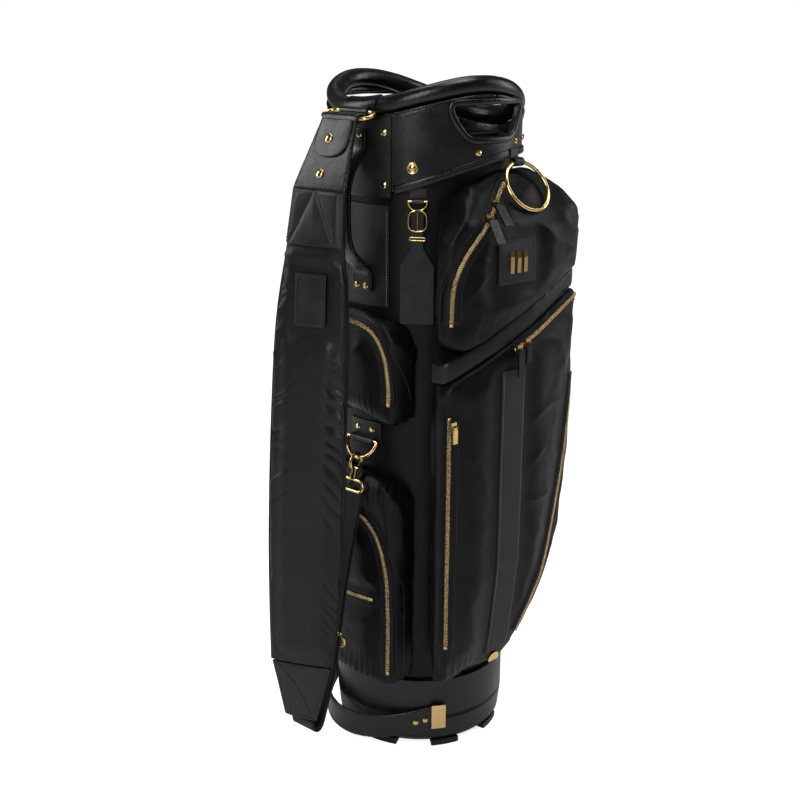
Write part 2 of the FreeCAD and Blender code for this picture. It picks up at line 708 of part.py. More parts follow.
def make_side_pockets():
    core = Part.makeCylinder(body_clear, TALL)
    half = SIDE_HALF_WIDTH
    plan = rounded_plan(
        [(-50, half - 24), (-SIDE_DEPTH + 14, half), (-SIDE_DEPTH - 2, 0), (-SIDE_DEPTH + 14, -half),
         (-74, -half), (-50, -half + 20)],
        [0, 14, 240, 14, 0, 0], 60, TALL)
    lower_face = rounded_side(
        [(-half - 4, SIDE_LOW), (-half - 4, SIDE_LOWER_TOP - 12), (0, SIDE_LOWER_TOP),
         (half + 4, SIDE_LOWER_TOP - 12), (half + 4, SIDE_LOW)],
        [20, 46, 200, 46, 20], -220, -40)
    lower_end = rounded_front(
        [(-20, SIDE_LOW), (-200, SIDE_LOW), (-200, SIDE_LOWER_TOP - 90), (-SIDE_DEPTH, SIDE_LOWER_TOP - 48),
         (-(BODY_RADIUS + 5), SIDE_LOWER_TOP + 2), (-20, SIDE_LOWER_TOP + 2)],
        [0, 0, 0, 40, 10, 0], -120, 120)
    lower = biggest(plan.common(lower_face).common(lower_end).cut(core))
    keep("side_pocket_lower", lower)

    upper_face = rounded_side(
        [(-half - 4, SIDE_UPPER_LOW), (-half - 4, SIDE_UPPER_TOP - 8), (0, SIDE_UPPER_TOP),
         (half + 4, SIDE_UPPER_TOP - 8), (half + 4, SIDE_UPPER_LOW)],
        [24, 56, 150, 56, 24], -220, -40)
    upper_end = rounded_front(
        [(-20, SIDE_UPPER_LOW), (-(BODY_RADIUS + 4), SIDE_UPPER_LOW), (-SIDE_DEPTH - 4, SIDE_UPPER_LOW + 44),
         (-SIDE_DEPTH - 4, SIDE_UPPER_TOP - 40), (-SIDE_DEPTH + 12, SIDE_UPPER_TOP), (-20, SIDE_UPPER_TOP)],
        [0, 18, 40, 40, 8, 0], -120, 120)
    patch_room = Part.makeCylinder(skin_radius + LEATHER + 0.1 + GAP, 300, V(0, 0, PATCH_LOW - GAP))
    upper = biggest(plan.common(upper_face).common(upper_end).cut(core).cut(patch_room))
    keep("side_pocket_upper", upper)
    return lower, upper


def make_side_trim(lower, upper):
    out = V(-1, 0, 0)
    edge = -SIDE_HALF_WIDTH + 9
    zips = {
        "zip_side_upper": (upper, [
            [(14, SIDE_UPPER_TOP - 16), (-42, SIDE_UPPER_TOP - 22), (edge + 6, SIDE_UPPER_TOP - 52),
             (edge, SIDE_UPPER_TOP - 90), (edge, SIDE_UPPER_LOW + 34)]]),
        "zips_side_lower": (lower, [
            [(30, SIDE_LOWER_TOP - 60), (-18, SIDE_LOWER_TOP - 62), (-50, SIDE_LOWER_TOP - 84),
             (edge + 4, SIDE_LOWER_TOP - 128), (edge, SIDE_LOWER_TOP - 180), (edge, SIDE_LOW + 20)],
            [(30, SIDE_LOW + 112), (-8, SIDE_LOW + 115), (-46, SIDE_LOW + 118)]])}
    for name, (form, runs) in zips.items():
        chains = []
        for controls in runs:
            chains.append(biggest(skin_on(form, stroke_side(controls, ZIP_WIDTH), out, ZIP_THICK, 0.1)))
        keep(name, *chains)


def make_far_pocket():
    half = FAR_HALF_WIDTH
    core = Part.makeCylinder(body_clear, TALL)
    plan = rounded_plan(
        [(50, half - 20), (FAR_DEPTH - 12, half), (FAR_DEPTH + 2, 0), (FAR_DEPTH - 12, -half + 30),
         (50, -half + 40)],
        [0, 14, 60, 12, 0], 60, TALL)
    face = rounded_side(
        [(-half - 4, FAR_LOW), (-half - 4, FAR_TOP), (half + 4, FAR_TOP), (half + 4, FAR_LOW)],
        [20, 60, 60, 20], 40, 220)
    end = rounded_front(
        [(20, FAR_LOW), (BODY_RADIUS + 4, FAR_LOW), (FAR_DEPTH + 4, FAR_LOW + 60),
         (FAR_DEPTH + 4, FAR_TOP - 60),
         (112, FAR_TOP), (20, FAR_TOP)],
        [0, 20, 60, 60, 20, 0], -120, 120)
    keep_clear = shapes["front_pocket_lower"].fuse([shapes["front_band"], shapes["front_pocket_upper"]])
    room = moved(keep_clear, 0, 1, 0).fuse(keep_clear)
    pocket = biggest(plan.common(face).common(end).cut(core).cut(room))
    keep("far_pocket", pocket)
    controls = [(half - 12, FAR_LOW + 40), (half - 12, (FAR_LOW + FAR_TOP) / 2), (half - 12, FAR_TOP - 60)]
    outline = prism_side(band(curve_points(controls, 8), ZIP_WIDTH), 60, 220)
    keep("zip_far", biggest(skin_on(pocket, outline, V(1, 0, 0), ZIP_THICK, 0.1)))


def make_back():
    """Plain back: a leather loop for a cart's belt."""
    face = skin_radius + 0.1
    low, high = BACK_LOOP_Z - 22, BACK_LOOP_Z + 22
    bridge = wrap(face + 4.0, LEATHER, 180 - 22, 180 + 22, low, high)
    feet = [wrap(face, LEATHER + 4.0, 180 + side * 25 - 3, 180 + side * 25 + 3, low, high) for side in (-1, 1)]
    keep("back_loop", bridge.fuse(feet).removeSplitter())


# ---- belt handle at the boot --------------------------------------------------------------------
def belt_radius(angle):
    """Middle of the belt's thickness: flat on the boot at both ends, bowed out between them."""
    share = (angle - BELT_FROM) / (BELT_TO - BELT_FROM)
    return BOOT_RADIUS + GAP + BELT_THICK / 2 + BELT_BULGE * math.sin(math.pi * share) ** 2


def belt_z(place):
    return BELT_END_Z + math.tan(math.radians(BELT_TILT)) * (place.x - polar(BELT_FROM, BOOT_RADIUS, 0).x)


def make_belt():
    steps = 26
    middle = []
    for i in range(steps + 1):
        angle = BELT_FROM + (BELT_TO - BELT_FROM) * i / steps
        place = polar(angle, belt_radius(angle), 0)
        middle.append((place.x, place.y))
    loop = prism_plan(band(middle, BELT_THICK), -60, 200)
    half = BELT_HEIGHT / 2
    slab = block((-300, -200, -half), (300, 200, half))
    slab.rotate(V(0, 0, 0), V(0, 1, 0), -BELT_TILT)
    slab.translate(V(0, 0, belt_z(V(0, 0, 0))))
    keep("belt_handle", loop.common(slab))

    clasps, heads = [], []
    face = BOOT_RADIUS + 0.1
    for end, step in ((BELT_FROM, 1), (BELT_TO, -1)):
        z = belt_z(polar(end, BOOT_RADIUS, 0))
        low, high = z - CLASP_HEIGHT / 2, z + CLASP_HEIGHT / 2
        outer = sorted((end - 5 * step, end - 0.4 * step))
        lip = sorted((end - 0.4 * step, end + 4 * step))
        root = wrap(face, BELT_THICK + 3.4, outer[0], outer[1], low, high)
        cover = wrap(face + BELT_THICK + 1.4, 2.0, lip[0], lip[1], low, high)
        clasps.append(root.fuse(cover).removeSplitter())
        for angle in (end + 8 * step, end + 14 * step):
            radius = belt_radius(angle) + BELT_THICK / 2 + 0.6
            place = polar(angle, radius, 0)
            heads.append(rivet(V(place.x, place.y, belt_z(place)), radial(angle)))
    keep("belt_clasps", *clasps)
    return heads


# ---- shoulder strap, its ring and its snap hook -------------------------------------------------
def strap_hinge():
    """Centre of the strap ring's outer bar, before the spine's turn."""
    bar = ring_bar_place()
    drop = math.radians(RING_DROP)
    return V(bar.x - RING_DEPTH * math.cos(drop), 0, bar.z - RING_DEPTH * math.sin(drop))


def make_strap_ring():
    oval = stadium_ring(RING_LENGTH, RING_DEPTH, RING_WIRE)
    oval.rotate(V(0, 0, 0), V(0, 1, 0), -RING_DROP)
    bar, outer = ring_bar_place(), strap_hinge()
    oval.translate((bar + outer) * 0.5)
    pivots["strap_ring"] = turned_point(bar)
    pivots["strap"] = turned_point(outer)
    keep("strap_ring", turned(oval))


def slab_loft(stations):
    """Flat strap through (centre, facing angle, width, thickness) stations from top to bottom."""
    wires = []
    for centre, facing, width, thick in stations:
        out = radial(facing)
        across = V(out.y, -out.x, 0)
        corners = []
        for a, b in ((-1, -1), (1, -1), (1, 1), (-1, 1)):
            corners.append(centre + across * (a * width / 2) + out * (b * thick / 2))
        wires.append(Part.makePolygon(corners + corners[:1]))
    return Part.makeLoft(wires, True, False)


def make_strap():
    hinge = strap_hinge()
    inner = RING_WIRE + GAP
    half = STRAP_TOP_WIDTH / 2 - 4
    loop = Part.makeCylinder(inner + 3, 2 * half, V(hinge.x, -half, hinge.z), V(0, 1, 0))
    bore = Part.makeCylinder(inner, 2 * half + 2, V(hinge.x, -half - 1, hinge.z), V(0, 1, 0))
    top = V(hinge.x - inner - 1.5, 0, hinge.z - 1)
    head_x = -(BODY_RADIUS + STRAP_OFF_TOP)
    joint = V(head_x, 0, STRAP_LEATHER_END)
    middle = (top + joint) * 0.5
    leather = slab_loft([(top, 90, STRAP_TOP_WIDTH - 8, 4), (middle, 88, STRAP_TOP_WIDTH + 4, 5),
                         (joint, 84, STRAP_TOP_WIDTH + 14, 5)])
    leather = leather.fuse(loop).cut(bore)
    keep("strap_leather_top", turned(biggest(leather)))

    heads = []
    for share in (0.3, 0.78):
        place = top + (joint - top) * share
        slope = (joint - top).normalize()
        out = V(slope.z, 0, -slope.x)
        heads.append(turned(rivet(place + out * 2.9 + V(0, 4, 0), out)))
    strap_metal.extend(heads)

    wide, thick = STRAP_PAD_WIDTH, STRAP_PAD_THICK
    foot_x = -(BODY_RADIUS + STRAP_OFF_LOW)
    pad_top = STRAP_LEATHER_END - 54
    a = V(head_x, 0, STRAP_LEATHER_END - GAP)
    b = V(head_x - 6, 0, pad_top)
    trapeze_top = turned(slab_loft([(a, 84, STRAP_TOP_WIDTH + 12, 5), (b, 79, wide - 20, 9)]))

    pad = [
        (V(b.x, 0, pad_top - GAP), 79, wide - 18, 9),
        (V(b.x - 8, 0, pad_top - 101), 70, wide - 2, thick),
        (V(b.x - 17, 0, pad_top - 231), 64, wide, thick),
        (V(foot_x + 10, 2, STRAP_PAD_END + 175), 62, wide, thick),
        (V(foot_x + 6, 3, STRAP_PAD_END + 75), 63, wide - 4, thick),
        (V(foot_x, 4, STRAP_PAD_END), 66, wide - 14, 10)]
    body = slab_loft(pad)
    keep("strap_pad", turned(body))

    label_high = pad_top - 39
    label_low = label_high - 62
    window = block((-400, -21, label_low), (0, 19, label_high))
    window.rotate(V(-200, 0, label_low), V(0, 0, 1), 18)
    label = window.common(moved(body, -2.0, 0, 0)).cut(moved(body, -0.1, 0, 0))
    keep("strap_label", turned(biggest(label)))

    c = V(foot_x, 4, STRAP_PAD_END - GAP)
    d = V(foot_x - 4, 3, STRAP_PAD_END - 72)
    trapeze_low = turned(slab_loft([(c, 66, wide - 16, 7), (d, 76, WEB_WIDTH + 8, 7)]))
    keep("strap_trapezes", trapeze_top, trapeze_low)


def make_web():
    """Narrow webbing: under the strap's foot, round, and up behind the pad to the snap hook."""
    eye = hook_eye()
    foot = V(-(BODY_RADIUS + STRAP_OFF_LOW) - 4, 0, STRAP_PAD_END - 72)
    controls = [
        (foot.x, foot.z - 1.5), (foot.x + 3, foot.z - 14), (foot.x + 14, foot.z - 16),
        (foot.x + 24, foot.z + 4), (foot.x + 44, STRAP_PAD_END - 5), (eye.x - 25, eye.z - 107), (eye.x, eye.z - 9)]
    outline = band(curve_points(controls, 40), WEB_THICK)
    half = WEB_WIDTH / 2
    strip = prism_front(outline, -half, half)
    keep("strap_web", turned(strip))

    buckle_z = 178.0
    spot = min(curve_points(controls, 200)[60:], key=lambda p: abs(p[1] - buckle_z))
    frame = stadium_ring(WEB_WIDTH + 12, 20, 1.8)
    frame.rotate(V(0, 0, 0), V(0, 1, 0), 78)
    frame.translate(V(spot[0], 0, spot[1]))
    opening = prism_front(band(curve_points(controls, 40), WEB_THICK + 0.6), -half - 0.3, half + 0.3)
    strap_metal.append(turned(biggest(frame.cut(opening))))


def hook_frame():
    """Unit vectors of the hanging hook: up along the shank, and across towards the bag."""
    up = V(math.sin(math.radians(HOOK_LEAN)), 0, math.cos(math.radians(HOOK_LEAN)))
    return up, V(up.z, 0, -up.x)


def ring_low_point():
    """Lowest point of the D-ring's wire, which hangs a little away from the bag."""
    bar = d_ring_bar()
    swing = math.radians(D_RING_SWING)
    return bar + V(-math.sin(swing), 0, -math.cos(swing)) * D_RING_RADIUS


def hook_centre():
    """Centre of the hook's bend: the D-ring's wire hangs just under the top of the bend."""
    up, _ = hook_frame()
    return ring_low_point() - up * (HOOK_RADIUS - HOOK_WIRE - RING_WIRE - GAP)


def hook_eye():
    up, _ = hook_frame()
    return hook_centre() - up * (HOOK_RADIUS + HOOK_BASE + HOOK_BARREL + 8.0)


def d_ring_bar():
    loop_wall = LEATHER
    return V(-(skin_radius + 0.1 + LEATHER + RING_WIRE + GAP + loop_wall - 0.2), 0, D_RING_Z)


def make_d_ring():
    bar = d_ring_bar()
    tab = wrap(skin_radius + 0.1, LEATHER, 90 - 13, 90 + 13, D_RING_Z + 0.5, SIDE_UPPER_LOW - GAP)
    loop = leather_loop(bar, RING_WIRE + GAP, 2 * D_RING_RADIUS - 12, LEATHER, 2.0)
    loop = loop.cut(Part.makeCylinder(skin_radius + 0.1, TALL))
    keep("d_ring_tab", turned(tab.fuse(loop)))
    hoop = d_ring(D_RING_RADIUS, RING_WIRE)
    hoop.rotate(V(0, 0, 0), V(0, 1, 0), D_RING_SWING)
    hoop.translate(bar)
    keep("d_ring", turned(hoop))
    heads = []
    for angle in (90 - 6, 90 + 6):
        place = polar(angle, skin_radius + 0.2 + LEATHER, D_RING_Z + 13)
        heads.append(turned(rivet(place, radial(angle))))
    return heads


def bend_points(centre, radius, start, end, steps=2):
    """Points on the hook's bend, angles from the side towards the bag, turning upwards."""
    up, across = hook_frame()
    out = []
    for i in range(steps + 1):
        a = math.radians(start + (end - start) * i / steps)
        out.append(centre + across * (radius * math.cos(a)) + up * (radius * math.sin(a)))
    return out


def make_hook():
    """Swivel snap hook: eye on the webbing, shank, bent hook and sprung gate."""
    up, across = hook_frame()
    eye = hook_eye()
    frame = stadium_ring(WEB_WIDTH, 14, 1.9)
    frame.rotate(V(0, 0, 0), V(0, 1, 0), 90)
    frame.rotate(V(0, 0, 0), V(0, 1, 0), HOOK_LEAN)
    frame.translate(eye)
    barrel_at = eye + up * 7.0
    barrel = Part.makeCylinder(4.2, HOOK_BARREL, barrel_at, up)
    bore = Part.makeCylinder(SWIVEL_RADIUS + SWIVEL_CLEAR, HOOK_BARREL + 12, barrel_at - up * 4.6, up)
    strap_metal.append(turned(barrel.fuse(frame).cut(bore)))

    centre = hook_centre()
    seat = barrel_at + up * (HOOK_BARREL + GAP)
    shank = Part.makeCylinder(SWIVEL_RADIUS, HOOK_BARREL + 2, seat - up * (HOOK_BARREL + 2), up)
    base = Part.makeCylinder(3.6, (centre - seat).Length - HOOK_RADIUS + 1.0, seat, up)
    arc_from, arc_to = 270.0, GATE_TIP
    start, middle, end = bend_points(centre, HOOK_RADIUS, arc_from, arc_to)
    path = Part.Wire(Part.Arc(start, middle, end).toShape())
    heading = across * -1
    profile = Part.Wire(Part.Circle(start, heading, HOOK_WIRE).toShape())
    bend = path.makePipeShell([profile], True, False)
    tip = Part.makeSphere(HOOK_WIRE, end)
    body = base.fuse([shank, bend, tip])

    pivot = bend_points(centre, HOOK_RADIUS, GATE_PIVOT, GATE_PIVOT, 1)[0]
    reach = bend_points(centre, HOOK_RADIUS, GATE_TIP, GATE_TIP, 1)[0]
    along = (reach - pivot).normalize()
    length = (reach - pivot).Length - HOOK_WIRE - GAP
    gate = Part.makeCylinder(1.5, length, pivot, along)
    hub = Part.makeCylinder(2.2, 5.0, pivot - V(0, 2.5, 0), V(0, 1, 0))
    keep("hook_gate", turned(gate.fuse(hub)))
    clearance = Part.makeCylinder(2.2 + GAP, 5.0 + 2 * GAP, pivot - V(0, 2.5 + GAP, 0), V(0, 1, 0))
    keep("hook_body", turned(biggest(body.cut(clearance))))
    pivots["hook_gate"] = turned_point(pivot)
    pivots["hook_swivel"] = turned_point(seat)


# ---- towel ring and name tag --------------------------------------------------------------------
def make_towel_ring():
    """Big ring that hangs from the collar over the sloping top of the front pocket."""
    tab = wrap(COLLAR_RADIUS + 0.1, LEATHER, TOWEL_ANGLE - 5, TOWEL_ANGLE + 5, TOWEL_Z, TOWEL_Z + 16)
    centre = towel_pivot()
    inner = TOWEL_WIRE + 0.9
    loop = leather_loop(V(0, 0, 0), inner, 14, LEATHER, 5.0)
    loop.rotate(V(0, 0, 0), V(0, 0, 1), 90)
    loop.translate(centre)
    loop = loop.cut(Part.makeCylinder(COLLAR_RADIUS + 0.1, TALL))
    keep("towel_tab", tab.fuse(loop))
    hoop = Part.makeTorus(TOWEL_RING_RADIUS, TOWEL_WIRE, V(0, 0, -TOWEL_RING_RADIUS), V(0, 1, 0))
    hoop.rotate(V(0, 0, 0), V(1, 0, 0), -TOWEL_LEAN)
    hoop.translate(centre)
    keep("towel_ring", hoop)
    pivots["towel_ring"] = centre


def towel_pivot():
    side = polar(TOWEL_ANGLE, COLLAR_RADIUS, TOWEL_Z)
    return side + V(0, -(LEATHER + TOWEL_WIRE + 0.7 + LEATHER), 0)


def facing(angle, shape):
    """Turn a piece built on the -X side to another angle round the bag."""
    copy = shape.copy()
    copy.rotate(V(0, 0, 0), V(0, 0, 1), 90 - angle)
    return copy


def tag_bar():
    return V(-(skin_radius + 0.1 + LEATHER + TAG_WIRE + GAP + LEATHER - 0.2), 0, TAG_Z)


def make_tag():
    """Name tag: leather tab, small D-ring, strap with buckle and keeper, and the card holder."""
    bar = tag_bar()
    top = edge_z(TAG_ANGLE) - 2
    tab = wrap(skin_radius + 0.1, LEATHER, 90 - 5, 90 + 5, TAG_Z, top)
    loop = leather_loop(bar, TAG_WIRE + GAP, 14, LEATHER, 2.0).cut(Part.makeCylinder(skin_radius + 0.1, TALL))
    keep("tag_tab", facing(TAG_ANGLE, tab.fuse(loop)))
    hoop = d_ring(TAG_RING_RADIUS, TAG_WIRE)
    hoop.translate(bar)
    keep("tag_ring", facing(TAG_ANGLE, hoop))

    pivot = bar - V(0, 0, TAG_RING_RADIUS)
    inner = TAG_WIRE + 0.7
    strap_loop = Part.makeCylinder(inner + 1.6, 6, pivot - V(0, 3, 0), V(0, 1, 0))
    strap_loop = strap_loop.cut(Part.makeCylinder(inner, 12, pivot - V(0, 6, 0), V(0, 1, 0)))
    half, thin = TAG_WIDTH / 2, TAG_THICK / 2
    neck = block((pivot.x - thin, -7, TAG_FOOT + TAG_HEIGHT - 8), (pivot.x + thin, 7, pivot.z - inner - 0.8))
    shoulder = TAG_FOOT + TAG_HEIGHT - 20
    outline = [(-half, TAG_FOOT), (-half, shoulder), (-8, TAG_FOOT + TAG_HEIGHT), (8, TAG_FOOT + TAG_HEIGHT),
               (half, shoulder), (half, TAG_FOOT)]
    card = rounded_side(outline, [3, 4, 3, 3, 4, 3], pivot.x - thin, pivot.x + thin)
    keep("tag_leather", facing(TAG_ANGLE, card.fuse([neck, strap_loop])))

    pivots["tag"] = spun(pivot, 90 - TAG_ANGLE)
    metal = []
    for z, tall in ((pivot.z - 12, 10), (pivot.z - 33, 4)):
        frame = block((pivot.x - thin - 1.5, -9.5, z - tall / 2), (pivot.x + thin + 1.5, 9.5, z + tall / 2))
        hole = block((pivot.x - thin - 0.3, -7.3, z - tall), (pivot.x + thin + 0.3, 7.3, z + tall))
        metal.append(facing(TAG_ANGLE, frame.cut(hole)))
    keep("tag_metal", *metal)


# ---- zip sliders and pulls ----------------------------------------------------------------------
def slider_and_pull(form, a, z, outward, width, length):
    """Slider on a pocket face and the pull that hangs from it, built in the face's own frame.

    a is x on a front face, or y on a spine-side face.
    """
    front = outward.y < 0
    across = V(1, 0, 0) if front else V(0, 1, 0)
    axis = V(-1, 0, 0) if front else V(0, 1, 0)
    base = V(a, -400, z) if front else V(-400, a, z)

    def surface(side, rise):
        return face_point(form, base + across * side + V(0, 0, rise), outward * -1)

    def box(side, inner, outer, low, high, at):
        corners = [at + across * -side + outward * inner, at + across * side + outward * outer]
        lows = [min(c[k] for c in corners) for k in range(2)] + [at.z + low]
        highs = [max(c[k] for c in corners) for k in range(2)] + [at.z + high]
        return block(lows, highs)

    face = surface(0, 0)
    end, half = SLIDER_LENGTH / 2, SLIDER_WIDTH / 2
    slope = (surface(0, -end) - surface(0, end)).dot(outward) / SLIDER_LENGTH
    bulges = []
    for side in (-half, 0, half):
        for rise in (-end, 0, end):
            bulges.append((surface(side, rise) - face).dot(outward) + slope * rise)
    lift = ZIP_THICK + 0.1 + GAP + max(bulges)
    tilt = math.degrees(math.atan(slope))
    slider = box(half, lift, lift + SLIDER_HEIGHT, -end, end, face)
    slider.rotate(face, axis, tilt)
    stand = lift + SLIDER_HEIGHT + GAP + PULL_THICK / 2
    turn = math.atan(slope)
    hinge = face + outward * (stand * math.cos(turn)) + V(0, 0, stand * math.sin(turn))

    knuckle = Part.makeCylinder(PULL_THICK / 2, SLIDER_WIDTH, hinge - across * half, across)
    plate = box(width / 2, -PULL_THICK / 2, PULL_THICK / 2, -length, -PULL_THICK, hinge)
    neck = box(2.0, -PULL_THICK / 2, PULL_THICK / 2, -PULL_THICK - 1, 0, hinge)
    pull = knuckle.fuse([plate, neck])
    leans = [0.0, tilt]
    for share in (0.4, 0.6, 0.8, 1.0):
        for side in (-width / 2, width / 2):
            spot = surface(side, hinge.z - base.z - length * share)
            reach = (spot - hinge).dot(outward) + PULL_THICK / 2 + ZIP_THICK + 2 * GAP
            leans.append(math.degrees(math.atan2(reach, length * share)))
    pull.rotate(hinge, axis, max(leans))
    return slider, pull, hinge


def make_sliders():
    front, side = V(0, -1, 0), V(-1, 0, 0)
    lower, upper = shapes["front_pocket_lower"], shapes["front_pocket_upper"]
    side_lower, side_upper = shapes["side_pocket_lower"], shapes["side_pocket_upper"]
    fixed = []
    places = {
        "pull_top_left": (lower, TOP_PULL_X, top_zip_z(TOP_PULL_X), front, PULL_WIDTH, PULL_LENGTH + 4),
        "pull_top_right": (
            lower, TOP_PULL_X + 14, top_zip_z(TOP_PULL_X + 14), front, PULL_WIDTH, PULL_LENGTH - 6),
        "pull_upper_left": (upper, -40, UPPER_TOP - 55, front, 13, PULL_LENGTH + 2),
        "pull_upper_right": (upper, -20, UPPER_TOP - 41, front, 13, PULL_LENGTH + 2),
        "pull_side_upper": (side_upper, 10, SIDE_UPPER_TOP - 16, side, PULL_WIDTH, PULL_LENGTH),
        "pull_side_lower": (side_lower, 20, SIDE_LOWER_TOP - 60, side, PULL_WIDTH, PULL_LENGTH + 4),
        "pull_left": (lower, ZIP_LEFT_X, ZIP_LEFT_TOP - 8, front, 7, 20)}
    for name, (form, a, z, outward, width, length) in places.items():
        slider, pull, hinge = slider_and_pull(form, a, z, outward, width, length)
        keep(name, pull)
        pivots[name] = hinge
        if name == "pull_left":
            keep("slider_left", slider)
        else:
            fixed.append(slider)
    keep("sliders_fixed", *fixed)


# ---- build -------------------------------------------------------------------------------------
def build():
    make_boot()
    make_tube()
    make_dividers()
    make_collar()
    rivets = make_patches()
    rivets += make_grab_handle()
    make_front_pockets()
    make_front_trim(shapes["front_pocket_lower"], shapes["front_pocket_upper"])
    side_lower, side_upper = make_side_pockets()
    make_side_trim(side_lower, side_upper)
    make_far_pocket()
    make_back()
    rivets += make_belt()
    rivets += make_d_ring()
    keep("rivets", *rivets)
    make_strap_ring()
    make_strap()
    make_web()
    make_hook()
    keep("strap_metal", *strap_metal)
    make_towel_ring()
    make_tag()
    make_sliders()


build()
os.makedirs("parts", exist_ok=True)
for name, shape in shapes.items():
    shape.exportStep("parts/" + name + ".step")
for name, place in pivots.items():
    print("pivot", name, round(place.x, 3), round(place.y, 3), round(place.z, 3))
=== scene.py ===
"""Look of the standing golf bag: fabric, leather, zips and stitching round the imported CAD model."""
import math
import bmesh
import bpy
import numpy as np
from mathutils import Matrix, Vector
from mathutils.bvhtree import BVHTree
from mathutils.kdtree import KDTree


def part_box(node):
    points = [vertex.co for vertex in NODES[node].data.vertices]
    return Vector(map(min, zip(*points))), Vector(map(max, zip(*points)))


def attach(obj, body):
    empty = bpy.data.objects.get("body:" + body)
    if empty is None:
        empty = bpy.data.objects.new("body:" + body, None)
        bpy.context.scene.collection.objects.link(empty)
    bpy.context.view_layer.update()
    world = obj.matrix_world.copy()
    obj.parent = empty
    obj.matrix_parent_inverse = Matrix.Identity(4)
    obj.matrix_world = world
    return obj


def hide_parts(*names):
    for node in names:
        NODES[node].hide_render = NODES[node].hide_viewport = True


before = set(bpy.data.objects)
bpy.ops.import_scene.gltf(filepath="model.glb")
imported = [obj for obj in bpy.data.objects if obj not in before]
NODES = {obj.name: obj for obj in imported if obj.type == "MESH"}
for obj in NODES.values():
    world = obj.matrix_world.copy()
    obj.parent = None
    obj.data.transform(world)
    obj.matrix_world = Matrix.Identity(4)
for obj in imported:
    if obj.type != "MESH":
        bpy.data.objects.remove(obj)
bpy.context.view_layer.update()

# ---- sizes shared with the model, in metres ----------------------------------------------------
SKIN_RADIUS = 0.1097
COLLAR_RADIUS = 0.120
ROLL_RADIUS = 0.011
SPINE_ANGLE = 82.0
RIM_MID, RIM_WAVE, RIM_TILT = 0.854, 0.018, 0.008
EDGE_MID, EDGE_WAVE, EDGE_TILT = 0.762, 0.011, 0.021


def polar(angle, radius, z):
    a = math.radians(angle)
    return np.array((-radius * math.sin(a), -radius * math.cos(a), z))


def rim_z(angle, drop=0.0):
    a = math.radians(angle)
    return RIM_MID - drop + RIM_WAVE * math.cos(2 * a) + RIM_TILT * math.sin(a)


def edge_z(angle):
    a = math.radians(angle)
    return EDGE_MID + EDGE_WAVE * math.cos(2 * a) - EDGE_TILT * math.sin(a)


def turned(points, hand=1):
    """Points built on the -X side, turned to the spine's own angle; hand -1 turns them back."""
    a = math.radians(hand * (90 - SPINE_ANGLE))
    p = np.asarray(points, float)
    x = p[..., 0] * math.cos(a) - p[..., 1] * math.sin(a)
    y = p[..., 0] * math.sin(a) + p[..., 1] * math.cos(a)
    return np.stack([x, y, p[..., 2]], -1)


# ---- noise and curves --------------------------------------------------------------------------
def noise(points, seed=0):
    """Smooth seeded noise between -1 and 1 at (n, 3) points."""
    points = np.asarray(points, float)
    base = np.floor(points).astype(np.int64)
    part = points - base
    ease = part * part * (3 - 2 * part)
    total = np.zeros(len(points))
    for corner in range(8):
        step = np.array((corner & 1, corner >> 1 & 1, corner >> 2 & 1))
        cell = base + step
        mixed = cell[:, 0] * 73856093 ^ cell[:, 1] * 19349663 ^ cell[:, 2] * 83492791 ^ seed * 26544357
        mixed = (mixed ^ mixed >> 13) * 1274126177
        value = (mixed ^ mixed >> 16 & 0xFFFFFF) & 0xFFFFFF
        total += np.prod(np.where(step, ease, 1 - ease), axis=1) * (value / 8388607.5 - 1.0)
    return total


def ridges(points, seed=0):
    """Noise shaped into narrow crests, 0 to 1, as folds in thin cloth."""
    return (1 - np.abs(noise(points, seed))) ** 4


def smoothstep(low, high, value):
    share = np.clip((value - low) / (high - low), 0, 1)
    return share * share * (3 - 2 * share)


def spline(controls, count):
    """Evenly spaced points on a smooth curve through the controls."""
    pts = [np.asarray(c, float) for c in controls]
    pts = [2 * pts[0] - pts[1]] + pts + [2 * pts[-1] - pts[-2]]
    dense = []
    for i in range(1, len(pts) - 2):
        p0, p1, p2, p3 = pts[i - 1:i + 3]
        for t in np.linspace(0, 1, 40, endpoint=False):
            dense.append(0.5 * (2 * p1 + (p2 - p0) * t + (2 * p0 - 5 * p1 + 4 * p2 - p3) * t * t
                                + (3 * p1 - p0 - 3 * p2 + p3) * t ** 3))
    dense.append(pts[-2])
    return resample(np.array(dense), count)


def resample(points, count):
    steps = np.linalg.norm(np.diff(points, axis=0), axis=1)
    run = np.concatenate([[0], np.cumsum(steps)])
    at = np.linspace(0, run[-1], count)
    return np.stack([np.interp(at, run, points[:, k]) for k in range(points.shape[1])], 1)


def level_out(points):
    """Level directions away from the bag's axis."""
    return unit(points * np.array((1, 1, 0)))


def length_of(points):
    return float(np.linalg.norm(np.diff(points, axis=0), axis=1).sum())


def unit(vectors):
    return vectors / np.maximum(np.linalg.norm(vectors, axis=-1, keepdims=True), 1e-12)


# ---- materials -----------------------------------------------------------------------------------
def base_material(name, colour, roughness, metallic=0.0, specular=0.5, sheen=0.0, sheen_rough=0.4, coat=0.0):
    mat = bpy.data.materials.new(name)
    mat.use_nodes = True
    shader = mat.node_tree.nodes["Principled BSDF"]
    shader.inputs["Base Color"].default_value = (*colour, 1)
    shader.inputs["Roughness"].default_value = roughness
    shader.inputs["Metallic"].default_value = metallic
    shader.inputs["Specular IOR Level"].default_value = specular
    shader.inputs["Sheen Weight"].default_value = sheen
    shader.inputs["Sheen Roughness"].default_value = sheen_rough
    shader.inputs["Coat Weight"].default_value = coat
    shader.inputs["Coat Roughness"].default_value = 0.2
    return mat, mat.node_tree, shader


def node(tree, kind, **values):
    made = tree.nodes.new(kind)
    for key, value in values.items():
        if hasattr(made, key):
            setattr(made, key, value)
        else:
            made.inputs[key.replace("_", " ")].default_value = value
    return made


